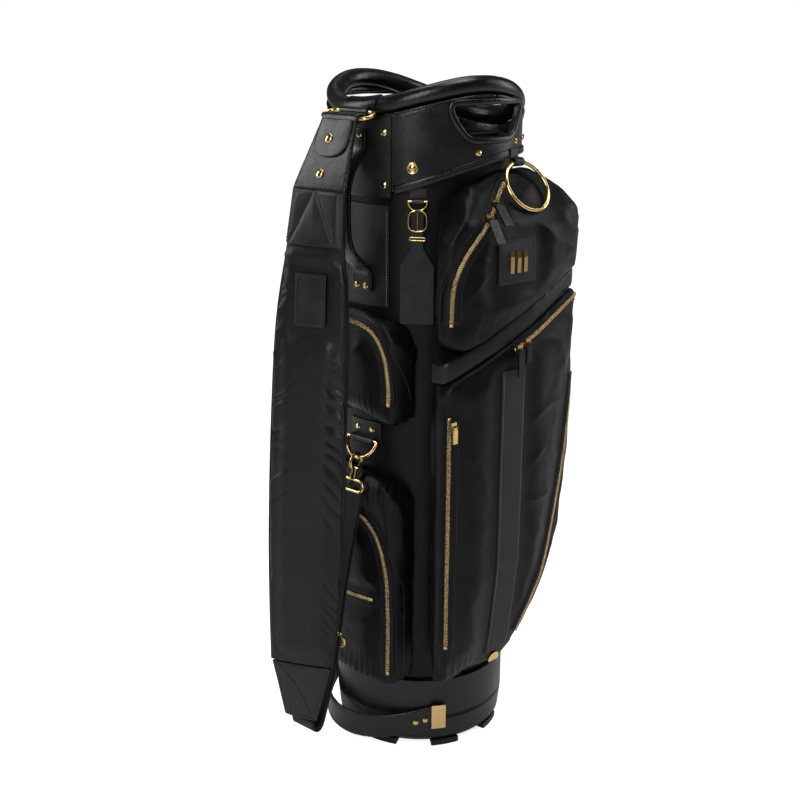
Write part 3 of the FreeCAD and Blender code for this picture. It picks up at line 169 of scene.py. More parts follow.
def noise_node(tree, where, scale, detail=2.0, rough=0.5):
    made = node(tree, "ShaderNodeTexNoise")
    made.inputs["Scale"].default_value = scale
    made.inputs["Detail"].default_value = detail
    made.inputs["Roughness"].default_value = rough
    tree.links.new(where, made.inputs["Vector"])
    return made.outputs["Fac"]


def ramp(tree, value, low, high, out_low, out_high):
    made = node(tree, "ShaderNodeMapRange")
    for key, number in (("From Min", low), ("From Max", high), ("To Min", out_low), ("To Max", out_high)):
        made.inputs[key].default_value = number
    tree.links.new(value, made.inputs["Value"])
    return made.outputs["Result"]


def tint(tree, shader, fac, dark, light):
    mix = node(tree, "ShaderNodeMix", data_type="RGBA")
    mix.inputs[6].default_value = (*dark, 1)
    mix.inputs[7].default_value = (*light, 1)
    tree.links.new(fac, mix.inputs[0])
    tree.links.new(mix.outputs[2], shader.inputs["Base Color"])


def bump(tree, shader, height, strength, distance, before=None):
    made = node(tree, "ShaderNodeBump")
    made.inputs["Strength"].default_value = strength
    made.inputs["Distance"].default_value = distance
    tree.links.new(height, made.inputs["Height"])
    if before is not None:
        tree.links.new(before, made.inputs["Normal"])
    tree.links.new(made.outputs["Normal"], shader.inputs["Normal"])
    return made.outputs["Normal"]


def math_node(tree, operation, a, b):
    made = node(tree, "ShaderNodeMath", operation=operation)
    for i, value in enumerate((a, b)):
        if isinstance(value, (int, float)):
            made.inputs[i].default_value = value
        else:
            tree.links.new(value, made.inputs[i])
    return made.outputs[0]


def weave(tree, where, pitch):
    """Height of a plain weave: warp and weft lines that pass over and under."""
    split = node(tree, "ShaderNodeSeparateXYZ")
    tree.links.new(where, split.inputs[0])
    k = math.pi / pitch
    around = math_node(tree, "ADD", split.outputs[0], split.outputs[1])
    across = math_node(tree, "SINE", math_node(tree, "MULTIPLY", around, k), 0)
    along = math_node(tree, "SINE", math_node(tree, "MULTIPLY", split.outputs[2], k), 0)
    return math_node(tree, "MULTIPLY", across, along)


def cloth_material(name, dark, light, roughness, pitch=0.0007, sheen=0.2, specular=0.3, crease=0.35):
    mat, tree, shader = base_material(name, dark, roughness, specular=specular, sheen=sheen)
    where = node(tree, "ShaderNodeTexCoord").outputs["Object"]
    broad = noise_node(tree, where, 18, 3)
    tint(tree, shader, ramp(tree, broad, 0.35, 0.7, 0, 1), dark, light)
    fine = noise_node(tree, where, 260, 3, 0.6)
    tree.links.new(ramp(tree, fine, 0.3, 0.7, roughness - 0.05, roughness + 0.07), shader.inputs["Roughness"])
    first = bump(tree, shader, weave(tree, where, pitch), 0.25, 0.0002)
    bump(tree, shader, noise_node(tree, where, 55, 4, 0.55), crease, 0.0012, first)
    return mat


def leather_material(name, dark, light, roughness, grain=900, depth=0.3, specular=0.45, coat=0.0):
    mat, tree, shader = base_material(name, dark, roughness, specular=specular, coat=coat)
    where = node(tree, "ShaderNodeTexCoord").outputs["Object"]
    cells = node(tree, "ShaderNodeTexVoronoi", feature="DISTANCE_TO_EDGE")
    cells.inputs["Scale"].default_value = grain
    tree.links.new(where, cells.inputs["Vector"])
    pores = ramp(tree, cells.outputs["Distance"], 0.0, 0.25, 0, 1)
    wear = noise_node(tree, where, 40, 4)
    tint(tree, shader, ramp(tree, wear, 0.4, 0.75, 0, 1), dark, light)
    tree.links.new(ramp(tree, wear, 0.3, 0.7, roughness - 0.06, roughness + 0.08), shader.inputs["Roughness"])
    first = bump(tree, shader, pores, depth, 0.00012)
    bump(tree, shader, noise_node(tree, where, 110, 3), 0.2, 0.0006, first)
    return mat


def metal_material(name, colour, roughness):
    mat, tree, shader = base_material(name, colour, roughness, metallic=1.0)
    where = node(tree, "ShaderNodeTexCoord").outputs["Object"]
    haze = noise_node(tree, where, 420, 3)
    tree.links.new(ramp(tree, haze, 0.3, 0.75, roughness * 0.75, roughness * 1.5), shader.inputs["Roughness"])
    warm = noise_node(tree, where, 90, 2)
    tint(tree, shader, ramp(tree, warm, 0.3, 0.7, 0, 1), tuple(c * 0.9 for c in colour), colour)
    bump(tree, shader, haze, 0.05, 0.0001)
    return mat


def plastic_material(name, dark, light, roughness, grain=1200, depth=0.25):
    mat, tree, shader = base_material(name, dark, roughness, specular=0.4)
    where = node(tree, "ShaderNodeTexCoord").outputs["Object"]
    speckle = noise_node(tree, where, grain, 2)
    rub = noise_node(tree, where, 30, 4)
    tint(tree, shader, ramp(tree, rub, 0.45, 0.8, 0, 1), dark, light)
    tree.links.new(ramp(tree, rub, 0.3, 0.7, roughness - 0.08, roughness + 0.06), shader.inputs["Roughness"])
    bump(tree, shader, speckle, depth, 0.0002)
    return mat


NYLON = cloth_material("nylon", (0.0020, 0.0020, 0.0027), (0.0036, 0.0036, 0.0048), 0.38,
                       sheen=0.0, specular=0.17)
PAD_NYLON = cloth_material("pad_nylon", (0.0026, 0.0026, 0.0032), (0.0046, 0.0046, 0.0056), 0.36,
                           sheen=0.0, specular=0.30)
SATIN = cloth_material("satin", (0.0030, 0.0030, 0.0038), (0.0052, 0.0052, 0.0064), 0.34,
                       sheen=0.0, specular=0.34)
LINING = cloth_material("lining", (0.004, 0.004, 0.0045), (0.008, 0.008, 0.009), 0.8, 0.0012, 0.05, 0.15)
FLEECE = cloth_material("fleece", (0.015, 0.015, 0.016), (0.03, 0.03, 0.032), 0.9, 0.002, 0.4, 0.1, 0.8)
WEBBING = cloth_material("webbing", (0.0035, 0.0035, 0.0040), (0.0065, 0.0065, 0.0072), 0.5, 0.0016, 0.04, 0.25)
TAPE = cloth_material("zip_tape", (0.0025, 0.0025, 0.0030), (0.0045, 0.0045, 0.0052), 0.55, 0.0009, 0.02, 0.2)
LEATHER = leather_material("leather", (0.0030, 0.0030, 0.0035), (0.0060, 0.0060, 0.0068), 0.27, specular=0.40)
PEBBLE = leather_material("pebble_leather", (0.0040, 0.0040, 0.0046), (0.0075, 0.0075, 0.0083), 0.38,
                          700, 0.5, 0.4)
SPLIT = leather_material("split_leather", (0.020, 0.020, 0.021), (0.030, 0.030, 0.031), 0.60, 1100, 0.4, 0.25)
EDGE = leather_material("edge_paint", (0.0030, 0.0030, 0.0035), (0.0055, 0.0055, 0.0062), 0.28, 400, 0.1)
GOLD = metal_material("gold", (0.80, 0.55, 0.24), 0.13)
TEETH = metal_material("zip_gold", (0.66, 0.47, 0.24), 0.24)
BOOT = plastic_material("boot_plastic", (0.0040, 0.0040, 0.0046), (0.0075, 0.0075, 0.0083), 0.42)
TUBE = plastic_material("tube_plastic", (0.02, 0.02, 0.022), (0.03, 0.03, 0.032), 0.55)
STAY = metal_material("stay_metal", (0.6, 0.6, 0.62), 0.35)
THREAD = cloth_material("thread", (0.020, 0.020, 0.022), (0.034, 0.034, 0.037), 0.5, 0.0005, 0.05, 0.3)
PALE_THREAD = cloth_material("pale_thread", (0.11, 0.10, 0.085), (0.16, 0.15, 0.13), 0.7, 0.0005, 0.2, 0.3)

CAD_LOOKS = {
    BOOT: "base_boot base_feet", TUBE: "body_tube", FLEECE: "floor_pad", STAY: "stay_rods",
    LINING: "divider_panels divider_top",
    PEBBLE: "spine_patches emblem_patch d_ring_tab towel_tab tag_tab back_loop strap_label",
    LEATHER: "strap_anchor tag_leather pull_top_left pull_top_right pull_upper_left pull_upper_right",
    GOLD: "collar_studs rivets front_badges belt_clasps d_ring tag_ring tag_metal strap_ring strap_metal "
          "hook_body hook_gate towel_ring sliders_fixed slider_left pull_left pull_side_upper pull_side_lower",
}


def dress_cad():
    for mat, names in CAD_LOOKS.items():
        for name in names.split():
            mesh = NODES[name].data
            mesh.materials.clear()
            mesh.materials.append(mat)
            shade(NODES[name], 32)


def shade(obj, degrees=40):
    """Smooth shading that keeps edges sharper than this angle."""
    mesh = obj.data
    mesh.shade_smooth()
    form = bmesh.new()
    form.from_mesh(mesh)
    limit = math.radians(degrees)
    sharp = [e.index for e in form.edges if len(e.link_faces) == 2 and e.calc_face_angle(0) > limit]
    form.free()
    flags = np.zeros(len(mesh.edges), bool)
    flags[sharp] = True
    layer = mesh.attributes.get("sharp_edge") or mesh.attributes.new("sharp_edge", "BOOLEAN", "EDGE")
    layer.data.foreach_set("value", flags)


# ---- building meshes -----------------------------------------------------------------------------
def make(name, verts, faces, mat):
    mesh = bpy.data.meshes.new(name)
    mesh.from_pydata(np.asarray(verts, float).tolist(), [], [list(map(int, f)) for f in faces])
    mesh.update()
    mesh.materials.append(mat)
    obj = bpy.data.objects.new(name, mesh)
    bpy.context.scene.collection.objects.link(obj)
    mesh.shade_smooth()
    return obj


def settle(obj, body, replaced=()):
    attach(obj, body)
    if replaced:
        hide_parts(*replaced)
    return obj


def grid_faces(rows, cols, close_rows, close_cols):
    faces = []
    for i in range(rows if close_rows else rows - 1):
        for j in range(cols if close_cols else cols - 1):
            a, b = i * cols + j, i * cols + (j + 1) % cols
            c, d = (i + 1) % rows * cols + (j + 1) % cols, (i + 1) % rows * cols + j
            faces.append((a, b, c, d))
    return faces


def fix_normals(obj):
    form = bmesh.new()
    form.from_mesh(obj.data)
    bmesh.ops.recalc_face_normals(form, faces=form.faces)
    form.to_mesh(obj.data)
    form.free()
    obj.data.shade_smooth()


def grid(name, points, mat, close_rows=False, close_cols=True):
    """Closed skin through a (rows, cols, 3) array; open rows get end caps."""
    points = np.asarray(points, float)
    rows, cols = points.shape[:2]
    faces = grid_faces(rows, cols, close_rows, close_cols)
    if not close_rows and close_cols:
        faces.append(tuple(range(cols)))
        faces.append(tuple((rows - 1) * cols + j for j in range(cols)))
    obj = make(name, points.reshape(-1, 3), faces, mat)
    fix_normals(obj)
    return obj


def oval(width, thick, power=3.0, count=20):
    """Cross-section (side, up) of a soft flat band; a larger power is squarer."""
    t = np.linspace(0, 2 * math.pi, count, endpoint=False)
    c, s = np.cos(t), np.sin(t)
    return np.stack([width / 2 * np.sign(c) * np.abs(c) ** (2 / power),
                     thick / 2 * np.sign(s) * np.abs(s) ** (2 / power)], 1)


def frames(path, normals, closed=False):
    path = np.asarray(path, float)
    if closed:
        heading = unit(np.roll(path, -1, 0) - np.roll(path, 1, 0))
    else:
        heading = unit(np.gradient(path, axis=0))
    side = unit(np.cross(heading, normals))
    return heading, side, unit(np.cross(side, heading))


def sweep(name, path, normals, profile, mat, closed=False, widths=None):
    """Skin of a profile (side, up) carried along a path."""
    _, side, up = frames(path, normals, closed)
    scale = np.ones(len(path)) if widths is None else np.asarray(widths)
    points = (np.asarray(path)[:, None, :] + side[:, None, :] * (profile[None, :, :1] * scale[:, None, None])
              + up[:, None, :] * profile[None, :, 1:])
    return grid(name, points, mat, close_rows=closed)


def join_bits(name, bits, mat):
    """One mesh from many (verts, faces) bits."""
    verts, faces, start = [], [], 0
    for v, f in bits:
        verts.append(v)
        faces += [tuple(i + start for i in face) for face in f]
        start += len(v)
    return make(name, np.concatenate(verts), faces, mat)


BOX_FACES = ((0, 1, 3, 2), (4, 6, 7, 5), (0, 4, 5, 1), (2, 3, 7, 6), (0, 2, 6, 4), (1, 5, 7, 3))


def brick(centre, heading, side, up, size):
    verts = []
    for a in (-1, 1):
        for b in (-1, 1):
            for c in (-1, 1):
                verts.append(centre + heading * a * size[0] / 2 + side * b * size[1] / 2 + up * c * size[2] / 2)
    return np.array(verts), BOX_FACES


def capsule(centre, heading, side, up, length, radius):
    """Small stitch: a six-sided lozenge."""
    rings = []
    for at, wide in ((-0.5, 0.35), (-0.3, 1.0), (0.3, 1.0), (0.5, 0.35)):
        for k in range(6):
            a = math.pi * k / 3
            spoke = side * math.cos(a) + up * math.sin(a)
            rings.append(centre + heading * at * length + spoke * radius * wide)
    faces = []
    for i in range(3):
        for k in range(6):
            faces.append((i * 6 + k, i * 6 + (k + 1) % 6, (i + 1) * 6 + (k + 1) % 6, (i + 1) * 6 + k))
    faces.append(tuple(range(5, -1, -1)))
    faces.append(tuple(range(18, 24)))
    return np.array(rings), faces


def stitch_row(path, normals, pitch=0.0036, length=0.0026, radius=0.00052, closed=False):
    """Stitches along a path that lies on a surface."""
    path = np.asarray(path, float)
    if closed:
        path = np.vstack([path, path[:1]])
        normals = np.vstack([normals, normals[:1]])
    count = max(int(length_of(path) / pitch), 2)
    both = resample(path, count)
    steps = np.linalg.norm(np.diff(path, axis=0), axis=1)
    run = np.concatenate([[0], np.cumsum(steps)])
    at = np.linspace(0, run[-1], count)
    ups = np.stack([np.interp(at, run, normals[:, k]) for k in range(3)], 1)
    heading, side, up = frames(both, unit(ups))
    bits = []
    for i in range(count - 1):
        bits.append(capsule(both[i] + up[i] * radius * 0.5, heading[i], side[i], up[i], length, radius))
    return bits


stitches = {}


def add_stitches(key, *args, **kw):
    stitches.setdefault(key, []).extend(stitch_row(*args, **kw))


# ---- soft copies of CAD solids ---------------------------------------------------------------------
def baked(obj):
    """Replace the mesh by its evaluated one and drop the modifiers."""
    graph = bpy.context.evaluated_depsgraph_get()
    mesh = bpy.data.meshes.new_from_object(obj.evaluated_get(graph))
    old = obj.data
    obj.modifiers.clear()
    obj.data = mesh
    bpy.data.meshes.remove(old)
    return obj


def coords(obj):
    out = np.zeros(len(obj.data.vertices) * 3)
    obj.data.vertices.foreach_get("co", out)
    return out.reshape(-1, 3)


def set_coords(obj, points):
    obj.data.vertices.foreach_set("co", np.ascontiguousarray(points, dtype=np.float64).ravel())
    obj.data.update()


def normals_of(obj):
    out = np.zeros(len(obj.data.vertices) * 3)
    obj.data.vertices.foreach_get("normal", out)
    return out.reshape(-1, 3)


def soft_copy(name, source, voxel, mat, rounds=3, factor=0.5):
    """Copy of a CAD solid with rounded, evenly meshed edges."""
    mesh = NODES[source].data.copy()
    mesh.materials.clear()
    mesh.materials.append(mat)
    obj = bpy.data.objects.new(name, mesh)
    bpy.context.scene.collection.objects.link(obj)
    weld = obj.modifiers.new("weld", "WELD")
    weld.merge_threshold = 0.00002
    remesh = obj.modifiers.new("remesh", "REMESH")
    remesh.mode = "VOXEL"
    remesh.voxel_size = voxel
    smooth = obj.modifiers.new("smooth", "SMOOTH")
    smooth.factor = factor
    smooth.iterations = rounds
    baked(obj)
    obj.data.shade_smooth()
    if not obj.data.materials:
        obj.data.materials.append(mat)
    return obj


def dense_points(name, spacing=0.003):
    """Points spread over a CAD node's surface, close enough to measure nearness."""
    mesh = NODES[name].data
    mesh.calc_loop_triangles()
    co = coords(NODES[name])
    out = []
    for tri in mesh.loop_triangles:
        a, b, c = (co[i] for i in tri.vertices)
        longest = max(np.linalg.norm(edge) for edge in (b - a, c - a, c - b))
        steps = int(min(longest / spacing + 1, 60))
        for i in range(steps + 1):
            for j in range(steps + 1 - i):
                out.append(a + (b - a) * i / steps + (c - a) * j / steps)
    return out


def nearness(points, names, near, far):
    """0 on the named CAD nodes, rising to 1 at the far distance."""
    spread = [p for n in names for p in dense_points(n)]
    found = KDTree(len(spread))
    for i, p in enumerate(spread):
        found.insert(p, i)
    found.balance()
    gap = np.array([found.find(p)[2] for p in points])
    return smoothstep(near, far, gap)


def inflate(pieces):
    """Swell closed soft pieces with Blender's cloth; each is (object, hold weights, cap)."""
    scene = bpy.context.scene
    before = {obj.name: coords(obj) for obj, _, _ in pieces}
    for obj, _, _ in pieces:
        cloth = obj.modifiers.new("cloth", "CLOTH")
        s = cloth.settings
        s.quality = 4
        s.mass = 0.3
        s.tension_stiffness = 12
        s.compression_stiffness = 12
        s.shear_stiffness = 6
        s.bending_stiffness = 0.8
        s.use_pressure = True
        s.uniform_pressure_force = 4
        s.effector_weights.gravity = 0
        cloth.collision_settings.use_collision = False
        cloth.point_cache.frame_end = 20
    scene.frame_start, scene.frame_end = 1, 20
    for f in range(1, 21):
        scene.frame_set(f)
    graph = bpy.context.evaluated_depsgraph_get()
    after = {}
    for obj, _, _ in pieces:
        mesh = obj.evaluated_get(graph).data
        out = np.zeros(len(mesh.vertices) * 3)
        mesh.vertices.foreach_get("co", out)
        after[obj.name] = out.reshape(-1, 3)
    for obj, hold, cap in pieces:
        obj.modifiers.clear()
        move = after[obj.name] - before[obj.name]
        size = np.linalg.norm(move, axis=1, keepdims=True)
        move *= np.minimum(1, cap / np.maximum(size, 1e-9)) * hold[:, None]
        set_coords(obj, before[obj.name] + move)
    scene.frame_set(1)


def surface_of(obj):
    mesh = obj.data
    mesh.calc_loop_triangles()
    faces = [tuple(t.vertices) for t in mesh.loop_triangles]
    return BVHTree.FromPolygons([tuple(v) for v in coords(obj)], faces)


def cast(tree, origins, direction, lift=0.0):
    """Points and normals where rays meet a surface; a miss keeps its line but takes the nearest depth."""
    direction = Vector(direction).normalized()
    found = []
    for origin in origins:
        hit, normal, _, _ = tree.ray_cast(Vector(origin), direction)
        if hit is not None and normal.dot(direction) > 0:
            normal = -normal
        if hit is not None and normal.dot(direction) > -0.12:
            hit = None
        found.append(None if hit is None else (hit, normal))
    good = [i for i, pair in enumerate(found) if pair]
    if not good:
        good = [0]
        middle = Vector(origins[0]) + direction * 0.25
        hit, normal, _, _ = tree.find_nearest(middle)
        found[0] = (hit, normal)
    spots, ups = [], []
    for i, origin in enumerate(origins):
        near = min(good, key=lambda k: abs(k - i))
        hit, normal = found[near]
        if near != i:
            reach = (hit - Vector(origins[near])).dot(direction)
            hit = Vector(origin) + direction * reach
        spots.append(np.array(hit) + np.array(normal) * lift)
        ups.append(np.array(normal))
    return np.array(spots), np.array(ups)


def smooth_rows(values, rounds=2):
    values = np.array(values)
    for _ in range(rounds):
        values[1:-1] = (values[:-2] + 2 * values[1:-1] + values[2:]) / 4
    return values


# ---- zips ------------------------------------------------------------------------------------------
TOOTH_PITCH = 0.0026
CHAIN_WIDTH = 0.0044
WELT_OFFSET = 0.0068
WELT_STITCH_OFFSET = 0.0105


def place_path(flat, face):
    """3-D ray origins outside the bag for a 2-D path on the front (x, z) or the spine side (y, z)."""
    flat = np.asarray(flat, float)
    out = np.zeros((len(flat), 3))
    out[:, 2] = flat[:, 1]
    if face == "front":
        out[:, 0], out[:, 1] = flat[:, 0], -0.4
    elif face == "spine":
        out[:, 0], out[:, 1] = -0.4, flat[:, 0]
    else:
        out[:, 0], out[:, 1] = 0.4, flat[:, 0]
    return out


INWARD = {"front": (0, 1, 0), "spine": (1, 0, 0), "far": (-1, 0, 0)}


def ribbon(name, surface, flat, face, width, thick, mat, lift=0.0002, across=7, crown=0.0):
    """Closed strip that follows a surface along a 2-D path."""
    flat = np.asarray(flat, float)
    side = sideways(flat)
    top, low = [], []
    for s in np.linspace(-0.5, 0.5, across):
        spots, ups = laid(surface, flat + side * s * width, face, 1, 3)
        edge = 1 - (2 * abs(s)) ** 6
        top.append(spots + ups * (lift + thick * (0.55 + 0.45 * edge) + crown * (1 - 4 * s * s)))
        low.append(spots + ups * (lift - 0.0012))
    points = np.stack(top + low[::-1], 1)
    return grid(name, points, mat)


def sideways(flat):
    """Unit directions across a 2-D path."""
    heading = unit(np.gradient(flat, axis=0))
    return np.stack([-heading[:, 1], heading[:, 0]], 1)


def laid(surface, flat, face, rounds=2, up_rounds=4):
    """A 2-D path laid on a surface: smoothed points and normals."""
    spots, ups = cast(surface, place_path(flat, face), INWARD[face])
    return smooth_rows(spots, rounds), unit(smooth_rows(ups, up_rounds))


def zip_chain(name, surface, flat, face):
    """Tape, two rows of interlocked teeth, end stops and the cloth welts beside them."""
    total = length_of(np.asarray(flat))
    fine = resample(np.asarray(flat, float), max(int(total / 0.004), 12))
    tape = ribbon(name + "_tape", surface, fine, face, 0.0125, 0.0005, TAPE, lift=0.0001)
    count = int(total / TOOTH_PITCH)
    along = resample(np.asarray(flat, float), count)
    spots, ups = laid(surface, along, face, 2, 6)
    heading, side, up = frames(spots, ups)
    bits = []
    for i in range(1, count - 1):
        for hand in (-1, 1):
            at = spots[i] + heading[i] * (TOOTH_PITCH / 2 if hand > 0 else 0) + up[i] * 0.0011
            at = at + side[i] * hand * CHAIN_WIDTH * 0.27
            bits.append(brick(at, heading[i], side[i], up[i], (0.0013, CHAIN_WIDTH * 0.6, 0.0014)))
    for i in (0, count - 1):
        bits.append(brick(spots[i] + up[i] * 0.001, heading[i], side[i], up[i], (0.004, CHAIN_WIDTH, 0.0022)))
    teeth = join_bits(name + "_teeth", bits, TEETH)
    pieces = [tape, teeth]
    beside = sideways(fine)
    for hand, ending in ((-1, "_welt_l"), (1, "_welt_r")):
        spots, ups = laid(surface, fine + beside * hand * WELT_OFFSET, face)
        pieces.append(sweep(name + ending, spots, ups, oval(0.0036, 0.0022, 2.2, 10), NYLON))
        add_stitches("bag", *laid(surface, fine + beside * hand * WELT_STITCH_OFFSET, face),
                     pitch=0.0034, length=0.0022)
    return pieces


# ---- pockets ---------------------------------------------------------------------------------------
SEAM_LEFT, SEAM_RIGHT = 0.520, 0.617


def seam_z(x, offset=0.0):
    return SEAM_LEFT + (SEAM_RIGHT - SEAM_LEFT) * (x + 0.100) / 0.230 + offset


def top_zip_z(x):
    return seam_z(x, -0.009)


# CAD node: piece name, remesh size, most the cloth may swell, fill, nodes that hold it down
POCKETS = {
    "front_pocket_lower": ("pocket_front_low", 0.005, 0.0045, 0.55,
                           "zips_front_lower front_strip front_badges front_band sliders_fixed slider_left"),
    "front_pocket_upper": ("pocket_front_high", 0.005, 0.0050, 0.6,
                           "zip_upper emblem_patch front_band towel_ring sliders_fixed tag_leather"),
    "side_pocket_lower": ("pocket_side_low", 0.005, 0.0050, 0.5,
                          "zips_side_lower sliders_fixed pull_side_lower"),
    "side_pocket_upper": ("pocket_side_high", 0.005, 0.0045, 0.5, "zip_side_upper sliders_fixed tag_leather"),
    "far_pocket": ("pocket_far", 0.005, 0.0050, 0.5, "zip_far"),
}


def pocket_wrinkles(obj, seed, hold, amount=0.0019):
    """Soft creases in thin stuffed cloth: long slanting folds, drawn corners and fine puckers."""
    p, n = coords(obj), normals_of(obj)
    slanted = np.stack([p[:, 0] * 17 + p[:, 2] * 8, p[:, 1] * 17 + p[:, 2] * 8, p[:, 2] * 21], 1)
    folds = ridges(slanted + noise(p * 11, seed)[:, None] * 0.8, seed) - 0.3
    low, high = p.min(0), p.max(0)
    near_foot = 1 - smoothstep(0.0, 0.055, p[:, 2] - low[2])
    near_head = 1 - smoothstep(0.0, 0.050, high[2] - p[:, 2])
    upright = np.sin((np.arctan2(p[:, 0], -p[:, 1]) * 46) + noise(p * 26, seed + 3) * 1.8)
    drawn = np.abs(upright) ** 0.8 * (near_foot + 0.8 * near_head) * -0.9
    fine = noise(p * 80, seed + 5) * 0.22
    room = 0.22 + 0.78 * hold
    set_coords(obj, p + n * ((folds + fine + drawn * hold) * amount * room)[:, None])


def refined(obj):
    fine = obj.modifiers.new("fine", "SUBSURF")
    fine.levels = 1
    return baked(obj)


def make_pockets():
    """Stuffed pockets: swollen by cloth, then creased."""
    made, batch = {}, []
    for source, (name, voxel, cap, _, held) in POCKETS.items():
        made[source] = soft_copy(name, source, voxel, NYLON, rounds=4)
        hold = nearness(coords(made[source]), held.split(), 0.006, 0.034)
        batch.append((made[source], hold, cap))
    inflate(batch)
    for index, (source, obj) in enumerate(made.items()):
        fill, held = POCKETS[source][3:]
        refined(obj)
        pocket_wrinkles(obj, 11 + index * 7, nearness(coords(obj), held.split(), 0.005, 0.030))
        obj.data.shade_smooth()
        settle(obj, "bag", [source])
    return made


FRONT_LOW_ZIPS = (
    ("zip_left", ((-0.092, 0.182), (-0.092, 0.330), (-0.092, 0.482))),
    ("zip_right", ((0.124, 0.500), (0.108, 0.390), (0.076, 0.262), (0.034, 0.165))),
    ("zip_top", ((0.002, top_zip_z(0.002)), (0.060, top_zip_z(0.060)), (0.120, top_zip_z(0.120)))))
ZIP_HIGH = ((0.012, 0.748), (-0.022, 0.724), (-0.064, 0.690), (-0.088, 0.650), (-0.092, 0.596))
SIDE_EDGE = -0.071
ZIP_SIDE_HIGH = ((0.014, 0.582), (-0.042, 0.576), (SIDE_EDGE + 0.006, 0.546), (SIDE_EDGE, 0.508),
                 (SIDE_EDGE, 0.486))
ZIP_SIDE_LOW = ((0.030, 0.338), (-0.018, 0.336), (-0.050, 0.314), (SIDE_EDGE + 0.004, 0.270),
                (SIDE_EDGE, 0.218), (SIDE_EDGE, 0.122))
ZIP_SIDE_MINI = ((0.030, 0.214), (-0.008, 0.217), (-0.046, 0.220))


def make_zips(pockets):
    surfaces = {source: surface_of(obj) for source, obj in pockets.items()}
    lot = [(name, "front_pocket_lower", controls, 60, "front", "zips_front_lower")
           for name, controls in FRONT_LOW_ZIPS]
    low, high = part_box("zip_far")
    middle = (low.y + high.y) / 2
    lot += [("zip_high", "front_pocket_upper", ZIP_HIGH, 60, "front", "zip_upper"),
            ("zip_side_high", "side_pocket_upper", ZIP_SIDE_HIGH, 60, "spine", "zip_side_upper"),
            ("zip_side_low", "side_pocket_lower", ZIP_SIDE_LOW, 80, "spine", "zips_side_lower"),
            ("zip_side_mini", "side_pocket_lower", ZIP_SIDE_MINI, 30, "spine", "zips_side_lower"),
            ("zip_far_long", "far_pocket", ((middle, low.z + 0.003), (middle, high.z - 0.003)), 60, "far",
             "zip_far")]
    for name, pocket, controls, count, face, source in lot:
        pieces = zip_chain(name, surfaces[pocket], spline(controls, count), face)
        for i, piece in enumerate(pieces):
            settle(piece, "bag", () if i else [source])


def make_strip(pockets):
    """Leather strip down the front, stitched along both edges."""
    low = surface_of(pockets["front_pocket_lower"])
    z_low, z_high = 0.146, 0.530
    flat = np.stack([np.zeros(90), np.linspace(z_high, z_low, 90)], 1)
    strip = ribbon("strip", low, flat, "front", 0.038, 0.0017, SPLIT, across=11)
    settle(strip, "bag", ["front_strip"])
    for x in (-0.0168, 0.0168):
        add_stitches("pale", *laid(surface_of(strip), flat[2:-2] + np.array((x, 0)), "front"), pitch=0.0038)


def make_band():
    """Satin flap band on the slanting seam, crowned, with turned edges."""
    band = soft_copy("band", "front_band", 0.0028, SATIN, rounds=6)
    p, n = coords(band), normals_of(band)
    slow = noise(np.stack([p[:, 0] * 22, p[:, 1] * 22, p[:, 2] * 60], 1), 3) * 0.0006
    set_coords(band, p + n * (0.0006 + slow)[:, None])
    settle(band, "bag", ["front_band"])
    surface = surface_of(band)
    for offset in (0.0035, 0.0225):
        flat = [(x, seam_z(x, offset)) for x in np.linspace(-0.096, 0.122, 70)]
        add_stitches("bag", *laid(surface, flat, "front"), pitch=0.0036)


# ---- body cloth, collar and rim ----------------------------------------------------------------------
def make_body_cloth():
    """Nylon cover on the stiff tube, with soft vertical slack."""
    rows, cols = 150, 180
    outer, inner = np.zeros((rows, cols, 3)), np.zeros((rows, cols, 3))
    angles = np.linspace(0, 360, cols, endpoint=False)
    for i in range(rows):
        share = i / (rows - 1)
        for j, angle in enumerate(angles):
            z = 0.1004 + share * (edge_z(angle) + 0.0045 - 0.1004)
            outer[i, j] = polar(angle, SKIN_RADIUS, z)
            inner[i, j] = polar(angle, SKIN_RADIUS - 0.0012, z)
    p = outer.reshape(-1, 3)
    slack = noise(np.stack([p[:, 0] * 30, p[:, 1] * 30, p[:, 2] * 7], 1), 4) * 0.5 + 0.5
    drawn = ridges(np.stack([p[:, 0] * 14 + p[:, 2] * 6, p[:, 1] * 14, p[:, 2] * 12], 1), 8)
    out = level_out(p)
    outer = (p - out * (0.0006 * slack + 0.0004 * drawn)[:, None]).reshape(rows, cols, 3)
    skin = grid("body_cloth", np.concatenate([outer, inner[::-1]], 0), NYLON, close_rows=True)
    settle(skin, "bag", ["body_skin"])


# angles round the collar where nothing covers the seam under the roll
OPEN_SPANS = ((0, 60), (104, 359.9))


